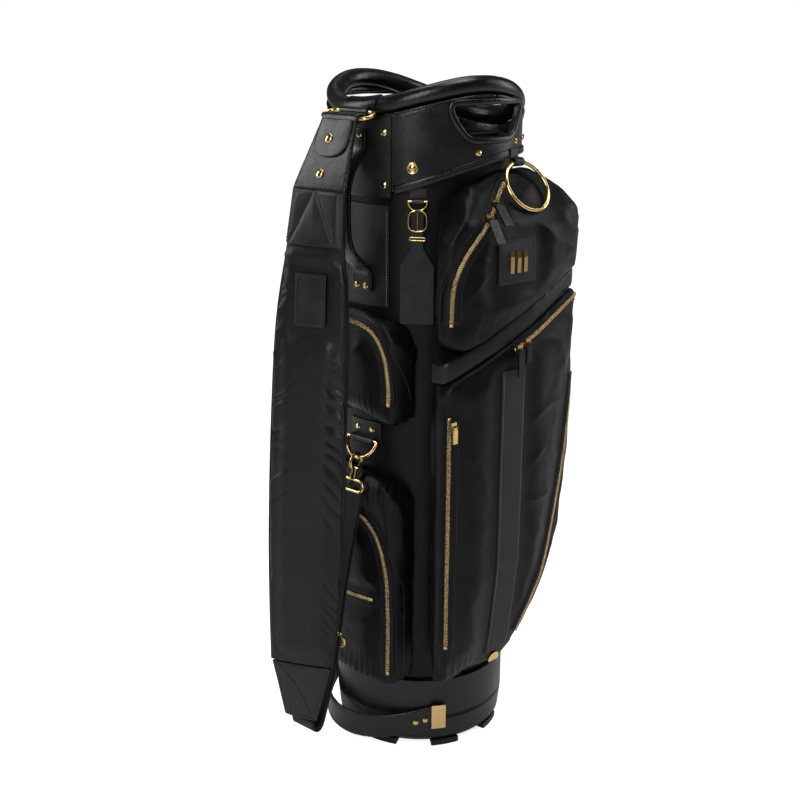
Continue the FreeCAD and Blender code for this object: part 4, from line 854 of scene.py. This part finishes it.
def make_roll():
    """Padded leather roll round the rim, with its seam and slight puckers."""
    cols, ring_count = 34, 240
    path = np.array([polar(a, COLLAR_RADIUS + 0.0015 - ROLL_RADIUS, rim_z(a, ROLL_RADIUS))
                     for a in np.linspace(0, 360, ring_count, endpoint=False)])
    ups = np.tile(np.array((0, 0, 1.0)), (ring_count, 1))
    _, side, up = frames(path, ups, True)
    turn = np.linspace(0, 2 * math.pi, cols, endpoint=False)
    rows = []
    for i in range(ring_count):
        outward = level_out(path[i])
        across = side[i] if side[i] @ outward > 0 else -side[i]
        ring_points = []
        for t in turn:
            seam = 0.0009 * math.exp(-((t - 5.35) / 0.10) ** 2)
            r = ROLL_RADIUS - seam
            ring_points.append(path[i] + across * math.cos(t) * r + up[i] * math.sin(t) * r)
        rows.append(ring_points)
    points = np.array(rows)
    flat = points.reshape(-1, 3)
    away = unit(flat - np.repeat(path, cols, 0))
    pucker = noise(flat * 70, 21) * 0.00022 + noise(flat * 24, 22) * 0.0004
    points = (flat + away * pucker[:, None]).reshape(points.shape)
    roll = grid("rim_leather", points, LEATHER, close_rows=True)
    settle(roll, "bag", ["rim_roll"])
    welt = np.array([polar(a, COLLAR_RADIUS + 0.0003, rim_z(a, 2 * ROLL_RADIUS + 0.0006))
                     for a in np.linspace(0, 360, 220, endpoint=False)])
    for low, high in OPEN_SPANS:
        part = span(welt, low, high)
        rope = sweep("rim_welt_%d" % low, part, level_out(part), oval(0.003, 0.003, 2, 8), EDGE)
        settle(rope, "bag")


def span(points, low, high):
    """The points of a 0 to 360 degree ring between two angles."""
    count = len(points)
    return np.array([points[i] for i in range(count) if low <= i * 360 / count <= high])


def collar_line(angle_from, angle_to, height, radius, count):
    return np.array([polar(a, radius, height(a)) for a in np.linspace(angle_from, angle_to, count)])


HATCH = ((-0.056, 0.842), (0.056, 0.842), (0.052, 0.824), (0.034, 0.800), (-0.034, 0.800), (-0.052, 0.824))


def rounded_loop(corners, cut, count):
    """Closed 2-D loop with its corners cut and smoothed."""
    pts = []
    corners = np.asarray(corners, float)
    for i, c in enumerate(corners):
        a, b = corners[i - 1], corners[(i + 1) % len(corners)]
        da, db = a - c, b - c
        ra = min(cut / np.linalg.norm(da), 0.45)
        rb = min(cut / np.linalg.norm(db), 0.45)
        start, end = c + da * ra, c + db * rb
        for t in np.linspace(0, 1, 8):
            pts.append((1 - t) ** 2 * start + 2 * t * (1 - t) * c + t * t * end)
    pts = np.array(pts + pts[:1])
    return resample(pts, count + 1)[:-1]


def make_collar():
    """Padded collar wall, bindings round the hand holes, stitched hem and top seam."""
    shell = soft_copy("collar_wall", "collar_shell", 0.0025, LEATHER, rounds=5)
    p, n = coords(shell), normals_of(shell)
    ripple = noise(np.stack([p[:, 0] * 26, p[:, 1] * 26, p[:, 2] * 14], 1), 31) * 0.0005 - 0.0004
    set_coords(shell, p + n * ripple[:, None])
    settle(shell, "bag", ["collar_shell", "collar_trim"])

    loop = rounded_loop(HATCH, 0.011, 120)
    for name, hand in (("front", -1), ("back", 1)):
        centre = loop.mean(0)
        grown = centre + (loop - centre) * (1 + 0.0015 / np.linalg.norm(loop - centre, axis=1))[:, None]
        x, z = grown[:, 0], grown[:, 1]
        y = hand * np.sqrt((COLLAR_RADIUS - 0.001) ** 2 - x ** 2)
        path = np.stack([x, y, z], 1)
        ups = level_out(path)
        binding = sweep("hand_hole_" + name, path, ups, oval(0.0085, 0.0075, 2.3, 14), LEATHER, closed=True)
        settle(binding, "bag", ())
        far = centre + (loop - centre) * (1 + 0.0085 / np.linalg.norm(loop - centre, axis=1))[:, None]
        y = hand * np.sqrt((COLLAR_RADIUS + 0.0002) ** 2 - far[:, 0] ** 2)
        line = np.stack([far[:, 0], y, far[:, 1]], 1)
        keep = line[:, 2] < 0.848
        if keep.all():
            add_stitches("bag", line, level_out(line), closed=True)

    for index, (low, high) in enumerate(((-13, 59.5), (104.5, 333))):
        count = int((high - low) * 1.6)
        hem = collar_line(low, high, lambda a: edge_z(a) + 0.0042, COLLAR_RADIUS + 0.0003, count)
        ups = level_out(hem)
        piece = sweep("collar_hem_%d" % index, hem, ups, oval(0.0092, 0.0028, 3.0, 16), LEATHER)
        settle(piece, "bag")
        for rise in (0.0022, 0.0062):
            line = collar_line(low + 0.5, high - 0.5, lambda a: edge_z(a) + rise, COLLAR_RADIUS + 0.0016, count)
            add_stitches("bag", line, level_out(line), pitch=0.0034)
        upper = collar_line(low + 1, high - 1, lambda a: rim_z(a, 2 * ROLL_RADIUS + 0.0060),
                            COLLAR_RADIUS + 0.0001, count)
        keep = [i for i, q in enumerate(upper) if not (abs(q[0]) < 0.064 and q[2] < 0.850 and q[2] > 0.79)]
        runs = np.split(np.array(keep), np.where(np.diff(keep) > 1)[0] + 1) if keep else []
        for run in runs:
            if len(run) > 5:
                part = upper[run]
                add_stitches("bag", part, level_out(part), pitch=0.0034)


# ---- shoulder strap ------------------------------------------------------------------------------------
def make_strap_pad():
    """Quilted shoulder pad, swollen by cloth and held down at its patches, its label and along its edges;
    crease_pad, make_pad_edges and make_label add its creases, bound edges and label.
    """
    pad = soft_copy("shoulder_pad", "strap_pad", 0.004, PAD_NYLON, rounds=6)
    hold = nearness(coords(pad), ["strap_trapezes", "strap_label"], 0.004, 0.030)
    _, across, _ = strap_frame(coords(pad))
    hold *= 1 - smoothstep(0.50, 0.90, np.abs(across) / 0.046)
    inflate([(pad, hold, 0.004)])
    return refined(pad)


# height, middle x and facing angle down the pad, before the spine's turn
PAD_RUN = ((0.691, -0.194, 79), (0.590, -0.202, 70), (0.460, -0.211, 64), (0.330, -0.216, 62),
           (0.230, -0.220, 63), (0.155, -0.226, 66))


def strap_frame(points):
    """Position down the pad, across it and out of it, for points on the strap."""
    x, y, z = turned(points, -1).T
    heights, middles, angles = np.array(PAD_RUN).T
    middle = np.interp(-z, -heights, middles)
    facing = np.radians(np.interp(-z, -heights, angles))
    out_x, out_y = -np.sin(facing), -np.cos(facing)
    dx, dy = x - middle, y - 0.002
    return z, dx * out_y - dy * out_x, dx * out_x + dy * out_y


def crease_pad(pad):
    """Short slanting puckers from both edges, and soft unevenness over the middle."""
    p, n = coords(pad), normals_of(pad)
    z, across, outward = strap_frame(p)
    edge = np.abs(across) / 0.046
    slant = z * 75 + np.abs(across) * 95
    warp = noise(np.stack([z * 13, across * 14, outward * 5], 1), 41) * 2.4
    folds = ridges(np.stack([slant + warp, across * 12 + z * 9, np.zeros(len(z))], 1), 43)
    patchy = smoothstep(-0.45, 0.35, noise(np.stack([z * 19, np.sign(across) * 3, np.zeros(len(z))], 1), 53))
    deep = smoothstep(0.30, 0.88, edge) * (1 - smoothstep(0.94, 1.03, edge))
    body = noise(np.stack([z * 17, across * 15, outward * 7], 1), 47) * 0.0011
    label = smoothstep(0.004, 0.018, np.maximum(np.abs(z - 0.621) - 0.031, np.abs(across) - 0.020))
    front = np.where(outward > 0, label, 1.0)
    move = (-0.0027 * folds * deep * (0.35 + 0.65 * patchy) - 0.0004 * folds + body) * front
    set_coords(pad, p + n * move[:, None])
    pad.data.shade_smooth()


def radial(angle):
    a = math.radians(angle)
    return np.array((-math.sin(a), -math.cos(a), 0.0))


def flat_section(across=25):
    """Cross-section of a thick flat patch, evenly spaced over its two faces."""
    x = np.linspace(-0.5, 0.5, across)
    y = 0.5 - 0.3 * np.abs(2 * x) ** 10
    return np.concatenate([np.stack([x, y], 1), np.stack([x[::-1], -y], 1)])


def facing(angle):
    """Outward and sideways level directions at a facing angle."""
    out = radial(angle)
    return out, np.array((out[1], -out[0], 0.0))


def along(stations, margin, count):
    """Centre, facing angle, width and thickness at even steps along a strap's stations."""
    centres = np.array([s[0] for s in stations], float)
    run = np.concatenate([[0], np.cumsum(np.linalg.norm(np.diff(centres, axis=0), axis=1))])
    at = np.linspace(margin, run[-1] - margin, count)
    c = np.stack([np.interp(at, run, centres[:, k]) for k in range(3)], 1)
    f, w, t = (np.interp(at, run, [s[k] for s in stations]) for k in (1, 2, 3))
    return list(zip(c, f, w, t))


def slab(name, stations, mat, power=5.0, rows=60, count=28):
    """Soft flat strap through (centre, facing angle, width, thickness) stations, turned to the spine."""
    shape = oval(1.0, 1.0, power, count) if power else flat_section(count)
    points = []
    for c, f, w, t in along(stations, 0, rows):
        out, across = facing(f)
        points.append(c + across * shape[:, :1] * w + out * shape[:, 1:] * t)
    return grid(name, turned(np.array(points)), mat)


def face_line(stations, side, inset, count=40):
    """A line along one edge of a slab's outer face, with its normals."""
    pts, ups = [], []
    for c, f, w, t in along(stations, 0.003, count):
        out, across = facing(f)
        pts.append(c + across * side * (w / 2 - inset) + out * t / 2)
        ups.append(out)
    return turned(np.array(pts)), turned(np.array(ups))


def cross_line(station, share_from, share_to, drop, count=14):
    """A line across a slab's outer face at one station."""
    c, f, w, t = station
    out, across = facing(f)
    pts = [np.array(c) + across * w * s + out * t / 2 + np.array((0, 0, drop)) for s in
           np.linspace(share_from, share_to, count)]
    return turned(np.array(pts)), turned(np.tile(out, (count, 1)))


LEATHER_TOP = (((-0.1516, 0, 0.8235), 90, 0.054, 0.0036), ((-0.1700, 0, 0.7840), 88, 0.066, 0.0044),
               ((-0.1880, 0, 0.7450), 84, 0.076, 0.0046))
TRAPEZE_TOP = (((-0.188, 0, 0.7455), 84, 0.074, 0.0066), ((-0.1946, 0, 0.6835), 79, 0.079, 0.0132))
TRAPEZE_LOW = (((-0.226, 0.004, 0.1547), 66, 0.078, 0.0076), ((-0.230, 0.003, 0.083), 76, 0.046, 0.0074))


def make_strap(pad):
    crease_pad(pad)
    settle(pad, "strap", ["strap_pad"])

    top = soft_copy("strap_top_leather", "strap_leather_top", 0.0013, LEATHER, rounds=4)
    settle(top, "strap", ["strap_leather_top"])
    for hand in (-1, 1):
        line, ups = face_line(LEATHER_TOP, hand, 0.0028)
        line = line[6:]
        ups = ups[6:]
        add_stitches("strap", line + ups * 0.0002, ups, pitch=0.0032)
    line, ups = cross_line(LEATHER_TOP[2], -0.45, 0.45, 0.004)
    add_stitches("strap", line + ups * 0.0003, ups, pitch=0.0032)

    for name, stations in (("strap_patch_top", TRAPEZE_TOP), ("strap_patch_low", TRAPEZE_LOW)):
        patch = slab(name, stations, PEBBLE, None, 60, 41)
        if name.endswith("top"):
            emboss(patch, stations)
        settle(patch, "strap", ["strap_trapezes"] if name.endswith("top") else ())
        for hand in (-1, 1):
            line, ups = face_line(stations, hand, 0.0030)
            add_stitches("strap", line + ups * 0.0002, ups, pitch=0.0034)
        for station, drop in ((stations[0], -0.003), (stations[-1], 0.003)):
            line, ups = cross_line(station, -0.44, 0.44, drop)
            add_stitches("strap", line + ups * 0.0002, ups, pitch=0.0034)
    stitch_cross(TRAPEZE_LOW)
    make_pad_edges()
    make_label()
    make_web()


def stitch_cross(stations):
    """Two rows of stitches from corner to corner of a patch."""
    (c0, f0, w0, t0), (c1, f1, w1, t1) = stations
    for a, b in ((-0.42, 0.40), (0.42, -0.40)):
        pts, ups = [], []
        for s in np.linspace(0, 1, 30)[2:-2]:
            c = np.array(c0) * (1 - s) + np.array(c1) * s
            out, across = facing(f0 * (1 - s) + f1 * s)
            w, half = w0 * (1 - s) + w1 * s, (t0 * (1 - s) + t1 * s) / 2
            pts.append(c + across * w * (a * (1 - s) + b * s) + out * (half + 0.0002))
            ups.append(out)
        add_stitches("strap", turned(np.array(pts)), turned(np.array(ups)), pitch=0.0034)


def emboss(patch, stations):
    """Pressed V of the top patch: two creases from the middle of its head to its lower corners."""
    p = coords(patch)
    z, across, outward = strap_frame(p)
    top, foot = stations[0][0][2], stations[-1][0][2]
    share = np.clip((top - z) / (top - foot), 0, 1)
    crease = 0.031 * share + 0.001
    inside = np.clip(1 - np.abs(across) / crease, 0, 1)
    beyond = np.clip((np.abs(across) - crease) / 0.020, 0, 1)
    groove = np.exp(-((np.abs(across) - crease) / 0.0011) ** 2) * 0.0011
    rise = 0.0018 * np.sqrt(inside) + 0.0014 * np.sqrt(beyond) - groove
    edge = 1 - smoothstep(0.031, 0.036, np.abs(across))
    front = outward > np.median(outward)
    out = turned(np.array([radial(81)]))[0]
    set_coords(patch, p + out * (rise * edge * front * smoothstep(0, 0.06, share))[:, None])


def lathe(centre, axis, profile, count=28):
    """Closed turned form: (radius, height) pairs from the rim of the foot to the middle of the top."""
    axis = unit(np.asarray(axis, float))
    side = unit(np.cross(axis, (0.31, 0.42, 0.85)))
    other = np.cross(axis, side)
    verts, faces = [], []
    for radius, height in profile:
        for k in range(count):
            a = 2 * math.pi * k / count
            verts.append(centre + axis * height + (side * math.cos(a) + other * math.sin(a)) * radius)
    for i in range(len(profile) - 1):
        for k in range(count):
            following = (k + 1) % count
            faces.append((i * count + k, i * count + following,
                          (i + 1) * count + following, (i + 1) * count + k))
    faces.append(tuple(range(count - 1, -1, -1)))
    faces.append(tuple((len(profile) - 1) * count + k for k in range(count)))
    return np.array(verts), faces


def dome(radius, height, steps=7):
    """Profile of a rivet cap with a small turned-in foot."""
    out = [(radius * 0.93, -0.0006), (radius, 0.0004)]
    for k in range(1, steps):
        a = math.pi / 2 * k / steps
        out.append((radius * math.cos(a), 0.0004 + height * math.sin(a)))
    return out + [(radius * 0.06, 0.0004 + height)]


def make_strap_caps():
    """Folded leather tab round the strap ring, and the two large domed caps."""
    top, joint = np.array(LEATHER_TOP[0][0], float), np.array(LEATHER_TOP[2][0], float)
    slope = unit(joint - top)
    out = np.array((slope[2], 0, -slope[0]))
    stations = []
    for share, width in ((0.02, 0.047), (0.15, 0.050), (0.30, 0.051), (0.40, 0.049), (0.47, 0.042),
                         (0.51, 0.032), (0.535, 0.016)):
        stations.append((top + (joint - top) * share + out * 0.0037, 89, width, 0.0028))
    tab = slab("strap_fold", stations, LEATHER, 4.0, 46, 32)
    settle(tab, "strap")
    bits = []
    for share, lift in ((0.30, 0.0050), (0.78, 0.0026)):
        place = top + (joint - top) * share + out * lift + np.array((0, 0.004, 0))
        bits.append(lathe(turned(place), turned(out), dome(0.0060, 0.0026)))
    caps = join_bits("strap_caps", bits, GOLD)
    fix_normals(caps)
    settle(caps, "strap")


def make_snap_socket():
    """Open press-stud socket on the collar beside the spine patch."""
    p = coords(NODES["collar_studs"])
    angles = np.degrees(np.arctan2(-p[:, 0], -p[:, 1]))
    near = p[np.abs(angles - 49) < 5]
    if len(near) == 0:
        return
    middle = near.mean(0)
    out = level_out(middle)
    seat = out * (COLLAR_RADIUS + 0.0003) + np.array((0, 0, middle[2]))
    profile = [(0.0068, -0.0004), (0.0072, 0.0006), (0.0066, 0.0017), (0.0055, 0.0019), (0.0046, 0.0009),
               (0.0036, 0.0008), (0.0031, 0.0021), (0.0022, 0.0028), (0.0008, 0.0030)]
    socket = join_bits("snap_socket", [lathe(seat, out, profile)], GOLD)
    fix_normals(socket)
    settle(socket, "bag")


TAG_ANGLE = 46


def make_tag_buckle():
    """Wire buckle with its prong, and the thin keeper, on the name tag's strap."""
    p = coords(NODES["tag_metal"])
    split = (p[:, 2].min() + p[:, 2].max()) / 2
    out, side = facing(TAG_ANGLE)
    high, low = p[p[:, 2] > split], p[p[:, 2] <= split]
    for name, group, half_w, half_h, wire in (("tag_buckle", high, 0.0108, 0.0122, 0.0021),
                                              ("tag_keeper", low, 0.0092, 0.0018, 0.0015)):
        middle = (group.min(0) + group.max(0)) / 2
        corner = min(half_w, half_h)
        loop = rounded_loop([(-half_w, -half_h), (half_w, -half_h), (half_w, half_h), (-half_w, half_h)],
                            corner * 0.9, 70)
        path = np.array([middle + side * a + np.array((0, 0, b)) + out * 0.0014 for a, b in loop])
        piece = sweep(name, path, np.tile(out, (len(path), 1)), oval(wire, wire, 2, 12), GOLD, closed=True)
        settle(piece, "name_tag", ["tag_metal"] if name == "tag_buckle" else ())
        if name == "tag_buckle":
            line = np.array([middle + np.array((0, 0, z)) + out * 0.0022
                             for z in np.linspace(-0.012, 0.012, 12)])
            prong = sweep("tag_prong", line, np.tile(out, (12, 1)), oval(0.0016, 0.0016, 2, 10), GOLD)
            settle(prong, "name_tag")


def make_pad_edges():
    """Bound edge down each side of the pad."""
    stations = [((-0.194, 0, 0.686), 79, 0.076), ((-0.202, 0, 0.590), 70, 0.092),
                ((-0.211, 0, 0.460), 64, 0.094), ((-0.216, 0.002, 0.330), 62, 0.094),
                ((-0.220, 0.003, 0.230), 63, 0.090), ((-0.226, 0.004, 0.158), 66, 0.080)]
    for name, hand in (("pad_edge_out", -1), ("pad_edge_in", 1)):
        pts = []
        for c, f, w in stations:
            pts.append(np.array(c) + facing(f)[1] * hand * (w / 2 - 0.0016))
        line = turned(spline(pts, 150))
        ups = turned(np.tile(radial(66), (150, 1)))
        rope = sweep(name, line, ups, oval(0.0056, 0.0048, 2.2, 12), WEBBING)
        settle(rope, "strap")


def make_label():
    """Blank stitched leather label on the pad."""
    low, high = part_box("strap_label")
    label = soft_copy("pad_label", "strap_label", 0.0009, PEBBLE, rounds=2)
    p = coords(label)
    out = turned(np.array([radial(69)]))[0]
    set_coords(label, p + out * 0.0024)
    settle(label, "strap", ["strap_label"])
    surface = surface_of(label)
    c = (np.array(low) + np.array(high)) / 2
    side = np.array((out[1], -out[0], 0.0))
    corners = [(-0.0168, -0.0275), (0.0168, -0.0275), (0.0168, 0.0275), (-0.0168, 0.0275)]
    loop = rounded_loop(corners, 0.003, 90)
    origins = [c + side * a + np.array((0, 0, b)) + out * 0.05 for a, b in loop]
    spots, ups = cast(surface, origins, -out, 0.0002)
    good = np.array([abs((s - c) @ out) < 0.02 for s in spots])
    if good.all():
        add_stitches("strap", spots, ups, closed=True, pitch=0.0034, radius=0.0005)


WEB_PATH = ((-0.230, 0.0815), (-0.227, 0.069), (-0.216, 0.067), (-0.206, 0.087), (-0.186, 0.150),
            (-0.166, 0.250))


def make_web():
    """Flat webbing from the pad's foot, round and up to the snap hook."""
    path2 = spline(WEB_PATH + (hook_end(),), 160)
    path = np.stack([path2[:, 0], np.zeros(160), path2[:, 1]], 1)
    heading = unit(np.gradient(path, axis=0))
    ups = np.cross(heading, np.array((0, 1, 0)))
    t = np.linspace(-1, 1, 15)
    rib = 0.00115 + 0.00012 * np.cos(t * math.pi * 7)
    profile = np.concatenate([np.stack([t * 0.019, rib], 1), np.stack([t[::-1] * 0.019, -rib], 1)])
    web = sweep("strap_webbing", turned(path), turned(ups), profile, WEBBING)
    settle(web, "strap", ["strap_web"])
    for offset in (-0.016, 0.016):
        line = path + np.array((0, offset, 0)) + ups * 0.0013
        add_stitches("strap", turned(line[4:-4]), turned(ups[4:-4]), pitch=0.0034)


def hook_end():
    """Where the webbing's centre line ends under the hook's eye, before the spine's turn."""
    x, _, z = turned(coords(NODES["strap_web"]), -1).T
    top = z > z.max() - 0.004
    return float(x[top].mean()), float(z.max() - 0.0006)


# ---- handles, belt and tag ---------------------------------------------------------------------------
def make_handle():
    handle = soft_copy("grab_leather", "grab_handle", 0.0012, LEATHER, rounds=6)
    p = coords(handle)
    y = turned(p, -1)[:, 1]
    n = normals_of(handle)
    crown = (1 - np.clip(np.abs(y) / 0.014, 0, 1) ** 2) * 0.0006
    set_coords(handle, p + n * crown[:, None])
    settle(handle, "bag", ["grab_handle"])
    surface = surface_of(handle)
    for off in (-0.0118, 0.0118):
        z = np.linspace(0.630, 0.800, 110)
        base = turned(np.stack([np.full(110, -0.4), np.full(110, off), z], 1))
        inward = turned(np.array([(1.0, 0, 0)]))[0]
        spots, ups = cast(surface, base, inward, 0.0001)
        add_stitches("bag", smooth_rows(spots, 3), unit(smooth_rows(ups, 6)), pitch=0.0036)


def make_belt():
    belt = soft_copy("base_belt", "belt_handle", 0.0011, LEATHER, rounds=5)
    settle(belt, "bag", ["belt_handle"])
    surface = surface_of(belt)
    for rise in (-0.0128, 0.0128):
        pts, ups = [], []
        for angle in np.linspace(33, 153, 170):
            share = (angle - 30) / 126
            radius = 0.1163 + 0.020 * math.sin(math.pi * share) ** 2 + 0.002
            x = -radius * math.sin(math.radians(angle))
            z = 0.050 + math.tan(math.radians(14)) * (x + 0.114 * math.sin(math.radians(30))) + rise
            origin = polar(angle, 0.2, z)
            hit, normal, _, _ = surface.ray_cast(Vector(origin), Vector(-radial(angle)))
            if hit is not None:
                pts.append(np.array(hit))
                ups.append(np.array(normal))
        if len(pts) > 20:
            add_stitches("bag", smooth_rows(pts, 3), unit(smooth_rows(ups, 3)), pitch=0.0038)


def make_tag_stitches():
    """Stitched border on the name tag."""
    surface = surface_of(NODES["tag_leather"])
    out, side = facing(TAG_ANGLE)
    corners = [(-0.0175, 0.5855), (-0.0175, 0.652), (-0.0070, 0.6705), (0.0070, 0.6705), (0.0175, 0.652),
               (0.0175, 0.5855)]
    loop = rounded_loop(corners, 0.003, 110)
    pivot = np.array((polar(TAG_ANGLE, 1, 0) * 0.1154)[:2])
    origins = [np.array((pivot[0], pivot[1], b)) + side * a + out * 0.05 for a, b in loop]
    spots, ups = cast(surface, origins, -out, 0.0001)
    add_stitches("name_tag", spots, ups, closed=True, pitch=0.0032)


def make_patch_stitches():
    """Pale stitches along the spine patches' upright edges, dark ones round the emblem patch."""
    for angle, low, high, radius in ((62.6, 0.7365, 0.818, 0.1222), (101.4, 0.7365, 0.818, 0.1222),
                                     (65.4, 0.603, 0.718, 0.1119), (98.6, 0.603, 0.718, 0.1119)):
        line = np.array([polar(angle, radius, z) for z in np.linspace(low, high, 40)])
        ups = level_out(line)
        key = "pale" if high < 0.72 else "bag"
        add_stitches(key, line, ups, pitch=0.0036)
    surface = surface_of(NODES["emblem_patch"])
    loop = rounded_loop([(-0.0285, 0.6385), (0.0285, 0.6385), (0.0285, 0.6855), (-0.0285, 0.6855)], 0.003, 120)
    spots, ups = cast(surface, place_path(loop, "front"), INWARD["front"])
    add_stitches("bag", spots, ups, closed=True, pitch=0.0034)


def finish_stitches():
    looks = {"bag": ("bag", THREAD, "collar_leather"), "pale": ("bag", PALE_THREAD, "strip_leather"),
             "strap": ("strap", THREAD, "strap_nylon"), "name_tag": ("name_tag", THREAD, "patch_leather")}
    for key, bits in stitches.items():
        body, mat, slot_name = looks[key]
        settle(join_bits("stitching_" + key, bits, mat), body)


# ---- room, light and camera ----------------------------------------------------------------------------
def make_room():
    """Pale floor that runs into a white surround; the surround lights the object only softly."""
    floor_mat, tree, shader = base_material("floor_paint", (0.90, 0.90, 0.90), 0.75, specular=0.1)
    where = node(tree, "ShaderNodeTexCoord").outputs["Object"]
    tree.links.new(ramp(tree, noise_node(tree, where, 3, 3), 0.3, 0.7, 0.7, 0.8), shader.inputs["Roughness"])
    shader.inputs["Emission Color"].default_value = (1, 1, 1, 1)
    seen = node(tree, "ShaderNodeLightPath").outputs["Is Camera Ray"]
    tree.links.new(ramp(tree, seen, 0, 1, 0.03, 0.80), shader.inputs["Emission Strength"])
    half = 40.0
    floor = make("floor", [(-half, -half, 0), (half, -half, 0), (half, half, 0), (-half, half, 0)],
                 [(0, 1, 2, 3)], floor_mat)
    world = bpy.data.worlds.new("studio")
    world.use_nodes = True
    back = world.node_tree.nodes["Background"]
    back.inputs["Color"].default_value = (1, 1, 1, 1)
    sight = node(world.node_tree, "ShaderNodeLightPath").outputs["Is Camera Ray"]
    world.node_tree.links.new(ramp(world.node_tree, sight, 0, 1, 0.06, 1.0), back.inputs["Strength"])
    bpy.context.scene.world = world
    bpy.context.scene.view_settings.view_transform = "Standard"


def area_light(name, place, target, size, power, size_y=None):
    data = bpy.data.lights.new(name, "AREA")
    data.energy = power
    data.size = size
    if size_y:
        data.shape = "RECTANGLE"
        data.size_y = size_y
    lamp = bpy.data.objects.new(name, data)
    lamp.location = place
    lamp.rotation_euler = (Vector(target) - Vector(place)).to_track_quat("-Z", "Y").to_euler()
    bpy.context.scene.collection.objects.link(lamp)


def make_lights():
    sun = bpy.data.lights.new("sky", "SUN")
    sun.energy = 0.75
    sun.angle = 0.6
    lamp = bpy.data.objects.new("sky", sun)
    lamp.rotation_euler = Vector((0.6, 0.9, 2.2)).to_track_quat("Z", "Y").to_euler()
    bpy.context.scene.collection.objects.link(lamp)
    area_light("key", (-1.9, -1.2, 1.7), (0, 0, 0.5), 0.5, 30, 1.5)
    area_light("side", (1.9, -0.9, 1.3), (0, 0, 0.5), 0.4, 14, 1.6)
    area_light("rear", (-1.6, 1.5, 1.5), (0, 0, 0.6), 0.4, 22, 1.6)
    area_light("top", (0.2, -0.5, 2.4), (0, 0, 0.6), 0.7, 12)


def make_camera():
    """The photograph's view: 42 degrees to the spine side of the front, 17 degrees up."""
    azimuth, rise, roll = (math.radians(v) for v in (-42.0, 17.2, 0.65))
    back = Vector((math.sin(azimuth) * math.cos(rise), -math.cos(azimuth) * math.cos(rise), math.sin(rise)))
    right = (-back).cross(Vector((0, 0, 1))).normalized()
    up = right.cross(-back)
    x_axis = right * math.cos(roll) + up * math.sin(roll)
    y_axis = up * math.cos(roll) - right * math.sin(roll)
    place = Vector((0, 0, 0.450)) + back * 1.650
    data = bpy.data.cameras.new("camera")
    data.sensor_width = 36.0
    data.lens = 1250 / 800 * 36.0
    data.shift_x = -0.0280
    data.shift_y = 0.0021
    data.clip_start, data.clip_end = 0.05, 60
    cam = bpy.data.objects.new("camera", data)
    cam.matrix_world = Matrix((
        (x_axis.x, y_axis.x, back.x, place.x), (x_axis.y, y_axis.y, back.y, place.y),
        (x_axis.z, y_axis.z, back.z, place.z), (0, 0, 0, 1)))
    bpy.context.scene.collection.objects.link(cam)
    bpy.context.scene.camera = cam


def main():
    make_camera()
    make_room()
    make_lights()
    dress_cad()
    make_body_cloth()
    pockets = make_pockets()
    make_band()
    make_zips(pockets)
    make_strip(pockets)
    make_collar()
    make_roll()
    make_strap(make_strap_pad())
    make_strap_caps()
    make_snap_socket()
    make_tag_buckle()
    make_handle()
    make_belt()
    make_tag_stitches()
    make_patch_stitches()
    finish_stitches()


main()
